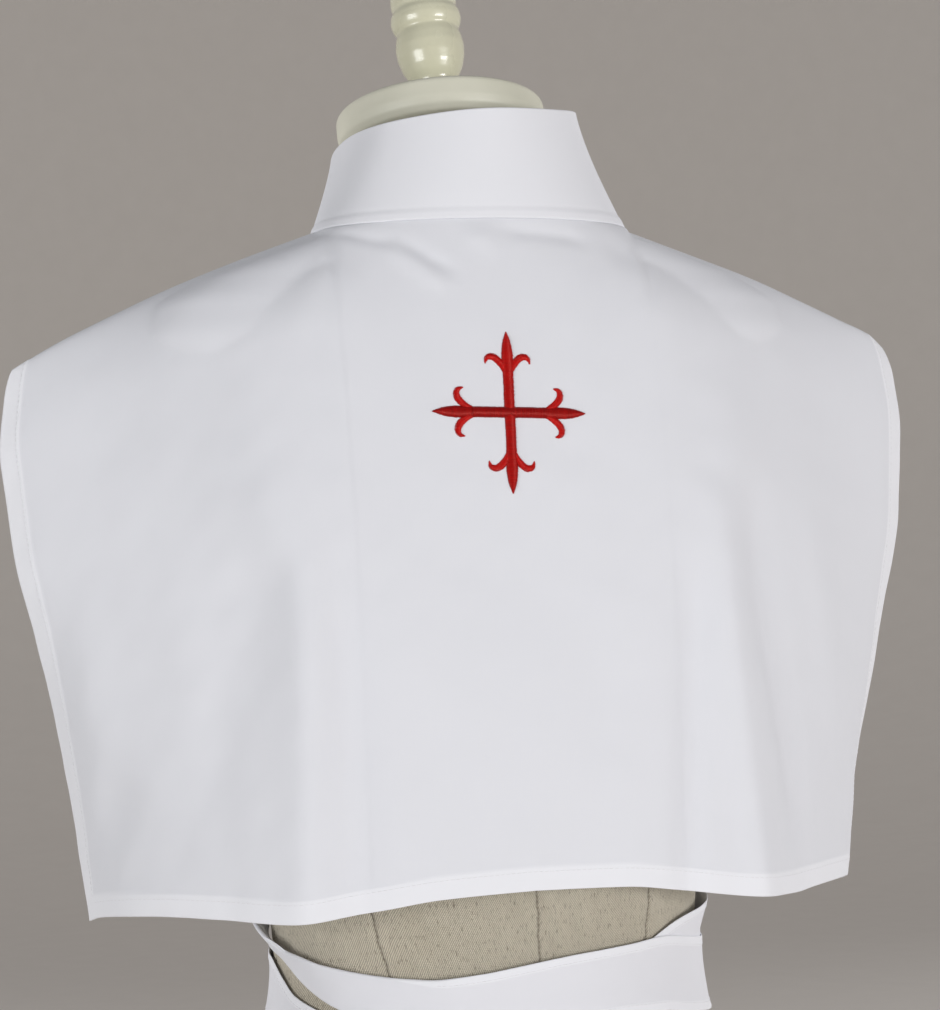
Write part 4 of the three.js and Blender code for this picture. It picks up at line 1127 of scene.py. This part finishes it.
# %% Threads of the whole cross
def make_cross():
    dice = np.random.RandomState(11)
    starts, ends, crests, painted_sheen_and_tones = [], [], [], []
    def take(rows, crest, turn, painted_sheen_and_tone):
        a, b, wide = rows
        spin = np.array([[math.cos(turn), math.sin(turn)], [-math.sin(turn), math.cos(turn)]])
        starts.append(a @ spin)
        ends.append(b @ spin)
        crests.append(np.full(len(a), crest) * np.clip(wide / 1.6, 0.35, 1))
        painted_sheen_and_tones.append(np.full(len(a), painted_sheen_and_tone))
    tilt = -math.radians(CROSS["tilt"])
    # Tones per lens, petal and bar are painted sheen and shade: bright petals, a dark across bar; a random
    # spread per stitch is added below.
    for quarter, (length, spread, painted_lens_sheen) in enumerate((
        (CROSS["height"], 1.0, 0.6), (CROSS["width"], 1.06, 0.35),
        (CROSS["height"], 1.0, 0.45), (CROSS["width"], 1.06, 0.3),
    )):
        for rows, crest in arm_stitches(length / 2, spread):
            painted_sheen_and_tone = 0.8 if crest == PETAL_CREST else painted_lens_sheen
            take(rows, crest, tilt + quarter * math.pi / 2, painted_sheen_and_tone)
    for quarter, length, crest, painted_sheen_and_tone in ((0, CROSS["height"], 1.2, 0.5), (1, CROSS["width"], 1.75, 0.25)):
        half = length / 2 - 22
        line = np.array([(0, -half), (0, 0), (0, half)], float)
        bar = rows_across(line, np.full(3, CROSS["bar"] / 2))
        take(bar, crest, tilt + quarter * math.pi / 2, painted_sheen_and_tone)
    a, b, crest = np.concatenate(starts), np.concatenate(ends), np.concatenate(crests)
    ragged = dice.uniform(-0.14, 0.14, (2, len(a)))
    way = unit(b - a)
    a, b = a - way * ragged[0][:, None], b + way * ragged[1][:, None]
    t = np.array([0, 0.05, 0.16, 0.32, 0.5, 0.68, 0.84, 0.95, 1])
    rise = np.array([-0.25, 0.28, 0.66, 0.90, 1, 0.90, 0.66, 0.28, -0.25])
    flat = mix(a[:, None], b[:, None], t[None, :, None])
    ground, out = back_at(CROSS["x"] + flat[..., 0], CROSS["z"] + flat[..., 1])
    crest = crest * dice.uniform(0.92, 1.08, len(a))
    lines = ground + out * (crest[:, None] * rise)[..., None]
    radius = THREAD_RADIUS * np.array([0.6, 0.9, 1, 1, 1, 1, 1, 0.9, 0.6])
    points, faces = thread_rods(lines, out, radius, sides=6)
    painted_sheen_and_tone = np.clip(np.concatenate(painted_sheen_and_tones) + dice.uniform(-0.15, 0.15, len(a)), 0, 1)
    painted_sheen_and_tone = np.repeat(painted_sheen_and_tone, len(t) * 6)
    print("stitches in the cross:", len(a))
    return make_piece("satin_cross", points, faces, extra={"painted_sheen_and_tone": painted_sheen_and_tone})

cross = dress(make_cross(), red_thread, "red_thread", "embroidered_cross")

# %% [markdown]
# ## Tapes
# Each tie is one long tape sewn to a front. It goes down and round the side,
# over the small of the back, round the other side and into the knot. Where
# it runs narrow its edges are folded behind, as a worn tape does, so the
# cloth keeps its full width in every place.

# %% Paths of the tapes: turn round the form, height, distance from it, width that shows
TAPE_WIDTH = 36.0
TAPE_COLUMNS = "turn z off width"
LEFT_TIE = table(TAPE_COLUMNS, [
    (197, 641, 1.9, 36), (186, 611, 3.2, 36), (172, 585, 4.6, 36), (150, 536, 4.4, 36),
    (128, 470, 4, 34), (110, 422, 5, 24), (94, 399, 7, 11), (80, 391, 6, 7), (72, 385, 5.2, 12),
    (62, 377.5, 4.6, 17), (51, 371.4, 4.3, 22), (40, 366, 4.2, 28),
    (28, 362.7, 4.2, 33), (15, 364.3, 4.2, 36), (2, 367.3, 4.2, 36), (-10, 370, 4.2, 36),
    (-22, 372, 4.2, 36), (-35, 373.2, 3.6, 37), (-47, 373.5, 3.2, 40), (-60, 370, 3.2, 41),
    (-77, 366.5, 3.3, 41), (-94, 366.5, 3.5, 41), (-120, 371.5, 3.6, 38), (-150, 377, 2.6, 32),
    (-170.2, 380, 6.6, 16),
])
RIGHT_TIE = table(TAPE_COLUMNS, [
    (-197, 641, 0.8, 36), (-186, 611, 1.2, 36), (-172, 585, 1.9, 36), (-150, 536, 1.9, 36),
    (-128, 470, 1.9, 36), (-110, 426, 1.9, 36), (-94, 398, 1.9, 36), (-78, 390, 1.9, 36),
    (-69, 388, 1.9, 36), (-60, 385, 1.9, 36), (-50, 377.5, 1.9, 36),
    (-40, 366, 1.9, 36), (-28, 354, 1.9, 36), (-15, 343.5, 1.9, 36), (-2, 337, 1.9, 36), (10, 334, 1.9, 36),
    (22, 332.5, 1.9, 36), (35, 333, 1.9, 36), (47, 336, 1.9, 36), (60, 342, 1.9, 36), (77, 352, 1.9, 36),
    (94, 369, 1.9, 36), (120, 375, 1.9, 36), (150, 377, 1.9, 32), (170.2, 380, 6.6, 16),
])
LEFT_TIE_END = table(TAPE_COLUMNS, [
    (175.6, 368.3, 7.4, 11.6), (172.5, 352, 7.4, 24), (169, 310, 3.4, 34), (166.5, 250, 1.6, 36),
    (165.5, 178, 1.6, 36),
])
RIGHT_TIE_END = table(TAPE_COLUMNS, [
    (184.4, 368.3, 7.4, 11.6), (188, 352, 7.4, 24), (193, 310, 3.4, 34), (196, 250, 1.6, 36),
    (197, 190, 1.6, 36),
])

# %% One stretch of tape
TAPE_HALF, TAPE_HEM = 0.24, 0.14

def tape_section(wide, real):
    u = np.linspace(-real / 2, real / 2, 65)
    spare = np.abs(u)[None, :] - wide[:, None] / 2
    bend = np.where(u < 0, 0.5, 0.95)[None, :]
    arc = np.clip(spare / bend, 0, np.pi)
    rest = np.maximum(0, spare - np.pi * bend)
    turned_in = wide[:, None] / 2 + bend * np.sin(arc) - rest
    spread_out = np.abs(u)[None, :] * np.maximum(1, wide / real)[:, None]
    reach = np.where(spare > 0, turned_in, spread_out)
    depth = np.where(spare > 0, bend * (1 - np.cos(arc)), 0)
    return u, reach * np.sign(u)[None, :], depth

def tape_stretch(name, path, first, last, lean, real=TAPE_WIDTH):
    keys = np.arange(len(path["turn"]), dtype=float)
    def middle(i):
        row = [between(keys, path[k], i) for k in TAPE_COLUMNS.split()]
        tip = np.radians(between(*lean, row[0]))
        off = mix(row[2], np.minimum(row[2], 4.8), np.clip(tip / 0.3, 0, 1))
        return form_point(np.radians(row[0]), row[1], off), off, row[3], tip
    run = length_along(middle(np.linspace(first, last, 400))[0])
    ends = np.array([0, 0.2, 0.7, 1.4, 3, 5, 5.8, 6.6])
    long = np.linspace(8.5, run[-1] - 8.5, int(run[-1] / 3.0))
    spots = np.concatenate([ends, long, run[-1] - ends[::-1]])
    i = np.interp(spots, run, np.linspace(first, last, 400))
    here, off, wide, tip = middle(i)
    ahead = middle(np.minimum(keys[-1], i + 0.02))[0] - middle(np.maximum(0, i - 0.02))[0]
    _, out = form_distance(here)
    side = unit(np.cross(out, unit(ahead)))
    cos, sin = np.cos(tip)[:, None], (np.sin(tip) * np.sign(side[:, 2]))[:, None]
    side, over = side * cos + out * sin, out * cos - side * sin
    u, reach, depth = tape_section(wide / cos[:, 0], real)
    points = here[:, None] + side[:, None] * reach[..., None]
    clear = mix(off, 2.3, np.clip(tip / 0.25, 0, 1)) if tip.max() > 0 else off
    points = lift_off_form(points, clear[:, None])
    place = np.stack(np.broadcast_arrays(u[None, :], spots[:, None]), axis=-1)
    wave = 0.22 * (1 + unevenness(points, 42, 21)) + 0.10 * (1 + unevenness(points, 15, 22))
    wave = wave * soft_step((640 - points[..., 2]) / 50)
    _, out_here = form_distance(points)
    facing = unit(mix(out_here, over[:, None], np.clip(tip / 0.3, 0, 1)[:, None, None]))
    points = points + facing * (wave - depth)[..., None]
    edge = np.minimum(real / 2 - np.abs(u)[None, :], np.minimum(spots, spots[-1] - spots)[:, None])
    hem = soft_step((5.2 - (real / 2 - np.abs(u)[None, :] + 0 * edge)) / 0.9)
    wall = (TAPE_HALF + TAPE_HEM * hem) * round_edge(edge, 0.5, 0.35)
    index = np.arange(points.shape[0] * points.shape[1]).reshape(points.shape[:2])
    quads = grid_faces(index)
    flat_points = points.reshape(-1, 3)
    normals = face_normals(flat_points, quads, len(flat_points))
    if (normals * out_here.reshape(-1, 3)).sum(axis=-1).mean() < 0:
        quads = quads[:, ::-1]
    shell, faces = close_sheet(flat_points, quads, wall.ravel(), wall.ravel())
    flat, layers = both(place.reshape(-1, 2)), {"layers": both(hem.ravel())}
    piece = make_piece(name, shell, faces.tolist(), flat, layers)
    return piece, run[-1], (points, facing, wall, wide / cos[:, 0], spots)

LEAN = {
    "left": ([-200, 56, 70, 82, 94, 104, 114, 130, 146, 200], [0, 0, 18, 36, 40, 28, 18, 8, 0, 0]),
    "right": ([-200, -124, -104, -88, -68, -52, 200], [0, 0, 10, 16, 13, 0, 0]),
}
STRETCHES = [("chest", 0, 6), ("back", 6.0, 21), ("waist", 21.0, 24)]
tapes, tape_edges = {}, []
for hand, path, hanging in (("left", LEFT_TIE, LEFT_TIE_END), ("right", RIGHT_TIE, RIGHT_TIE_END)):
    for title, first, last in STRETCHES + [("end", 0, 4)]:
        route = hanging if title == "end" else path
        piece, length, lay = tape_stretch(f"tape_{hand}_{title}", route, first, last, LEAN[hand])
        dress(piece, tape_cotton, "tie_cloth", f"tie_{hand}_{title}")
        tapes[hand, title] = (piece, length)
        tape_edges.append(lay)
        print(f"  cut length {length:.0f} mm")

# %% [markdown]
# ## Knot
# The two tapes meet in a flat knot. Each runs in, turns back in a tight bend
# round the other and leaves below. The tape is crushed there, so its section
# is a small pleated oval. The two bends lock: each passes in front of the
# other's legs on one side and behind them on the other.

# %% Two locked bends
KNOT_HEIGHT, KNOT_OFF, KNOT_CLEAR = 380, 5.2, 0.6
KNOT_HALF_WIDE, KNOT_HALF_DEEP = 4.7, 2.0
BEND = table("aside up out", [
    (15.5, 1.2, 3.0), (10.5, 4.6, 2.9), (5.0, 5.6, 2.6), (-1.5, 5.4, 0.6), (-6.0, 3.4, -1.4),
    (-7.2, 0.0, -2.0), (-6.0, -3.4, -1.4), (-1.5, -5.4, 0.6), (5.0, -5.8, 2.6), (9.5, -6.6, 2.4),
    (10.5, -9.4, 1.2),
])

def knot_tape(hand, front_y):
    steps = np.arange(len(BEND["up"]), dtype=float)
    fine = np.linspace(0, steps[-1], 90)
    aside, up, out = (between(steps, BEND[k], fine) for k in ("aside", "up", "out"))
    line = np.stack([aside * hand, front_y - KNOT_OFF - out, KNOT_HEIGHT + up], axis=-1)
    for _ in range(6):
        line[1:-1] = (line[:-2] + 2 * line[1:-1] + line[2:]) / 4
    return line

def pleated_rod(line, wide, deep, seed):
    sides = 40
    ahead = unit(np.gradient(line, axis=0))
    forward = np.array([0, -1.0, 0])
    face = unit(forward - ahead * (ahead @ forward)[:, None])
    side = np.cross(ahead, face)
    turn = np.linspace(0, 2 * np.pi, sides + 1)[:-1]
    run = np.linspace(0, 1, len(line))[:, None]
    pleat = 1 + 0.10 * np.cos(5 * turn + seed)[None, :] + 0.06 * np.cos(9 * turn + 3 * run + seed)
    swell = 0.86 + 0.14 * np.sin(run * 7 + seed)
    ring = side[:, None] * (wide * np.cos(turn)[None, :] * pleat * swell)[..., None]
    ring = ring + face[:, None] * (deep * np.sin(turn)[None, :] * pleat)[..., None]
    points = line[:, None] + ring
    index = np.arange(len(line) * sides).reshape(len(line), sides)
    return points.reshape(-1, 3), index

def make_knot():
    front_y = float(form_point(np.pi, KNOT_HEIGHT)[1])
    points, faces, start = [], [], 0
    for hand, seed in ((1, 0.4), (-1, 2.1)):
        rod, index = pleated_rod(knot_tape(hand, front_y), KNOT_HALF_WIDE, KNOT_HALF_DEEP, seed)
        rod[:, 1] = np.minimum(rod[:, 1], front_y - KNOT_CLEAR)
        quads = grid_faces(index + start, wrap=True)
        faces += quads.tolist() + [(index[0, ::-1] + start).tolist(), (index[-1] + start).tolist()]
        points.append(rod)
        start += len(rod)
    points = np.concatenate(points)
    return make_piece("flat_knot", points, faces, points[:, [0, 2]], {"layers": np.full(start, 0.3)})

knot = dress(make_knot(), tape_cotton, "tie_cloth", "tie_knot")

# %% [markdown]
# ## Hem stitching
# A row of small machine stitches holds each hem. Every stitch is a short
# white rod, 2.4 mm long, set in a shallow line 10.4 mm from the edge on the
# body and 4 mm from it on the tapes.

# %% Stitches along lines on the cloth
STITCH_PITCH, STITCH_LENGTH, STITCH_RADIUS = 3.0, 2.4, 0.17
HEM_LINE = 10.4
TAPE_HEM_COLUMNS, FLAT_TAPE = (7, 57), 31

def stitch_rods(line, ups):
    run = length_along(line)
    starts = np.arange(2.0, run[-1] - 3.0, STITCH_PITCH)
    at = starts[:, None] + STITCH_LENGTH * np.array([0, 0.15, 0.5, 0.85, 1])[None, :]
    spots = np.stack([np.interp(at, run, line[:, k]) for k in range(3)], axis=-1)
    up = unit(np.stack([np.interp(at, run, ups[:, k]) for k in range(3)], axis=-1))
    sink = STITCH_RADIUS * np.array([-1.2, 0.15, 0.45, 0.15, -1.2])
    return spots + up * sink[None, :, None], up

def along_tapes():
    for points, facing, wall, wide, spots in tape_edges:
        for column in TAPE_HEM_COLUMNS:
            clear = (wide > FLAT_TAPE) & (spots > 2) & (spots < spots[-1] - 2)
            starts = np.flatnonzero(clear & ~np.roll(clear, 1))
            stops = np.flatnonzero(clear & ~np.roll(clear, -1))
            for a, b in zip(starts, stops):
                if b - a > 4:
                    lie, up = points[a:b, column], facing[a:b, column]
                    yield stitch_rods(lie + up * wall[a:b, column, None], up)

def make_body_stitches():
    lines, ups = [], []
    def take(s, v):
        spots, out = on_back(s, v)
        rods, up = stitch_rods(spots, out)
        lines.append(rods)
        ups.append(up)
    long = np.linspace(0.004, 0.966, 240)
    for side in (-1, 1):
        take(np.full(240, side * (HALF_WIDTH - HEM_LINE)), long)
    wide = np.linspace(-(HALF_WIDTH - 11), HALF_WIDTH - 11, 400)
    take(wide, np.full(400, 1 - HEM_LINE / BACK_RUN))
    for rods, up in along_tapes():
        lines.append(rods)
        ups.append(up)
    lines, ups = np.concatenate(lines), np.concatenate(ups)
    radius = STITCH_RADIUS * np.array([0.6, 1, 1, 1, 0.6])
    points, faces = thread_rods(lines, ups, radius, sides=5)
    print("stitches on the back's hems and the tapes:", len(lines))
    return make_piece("hem_stitches", points, faces)

hem_stitches = dress(make_body_stitches(), white_thread, "amice_cloth")
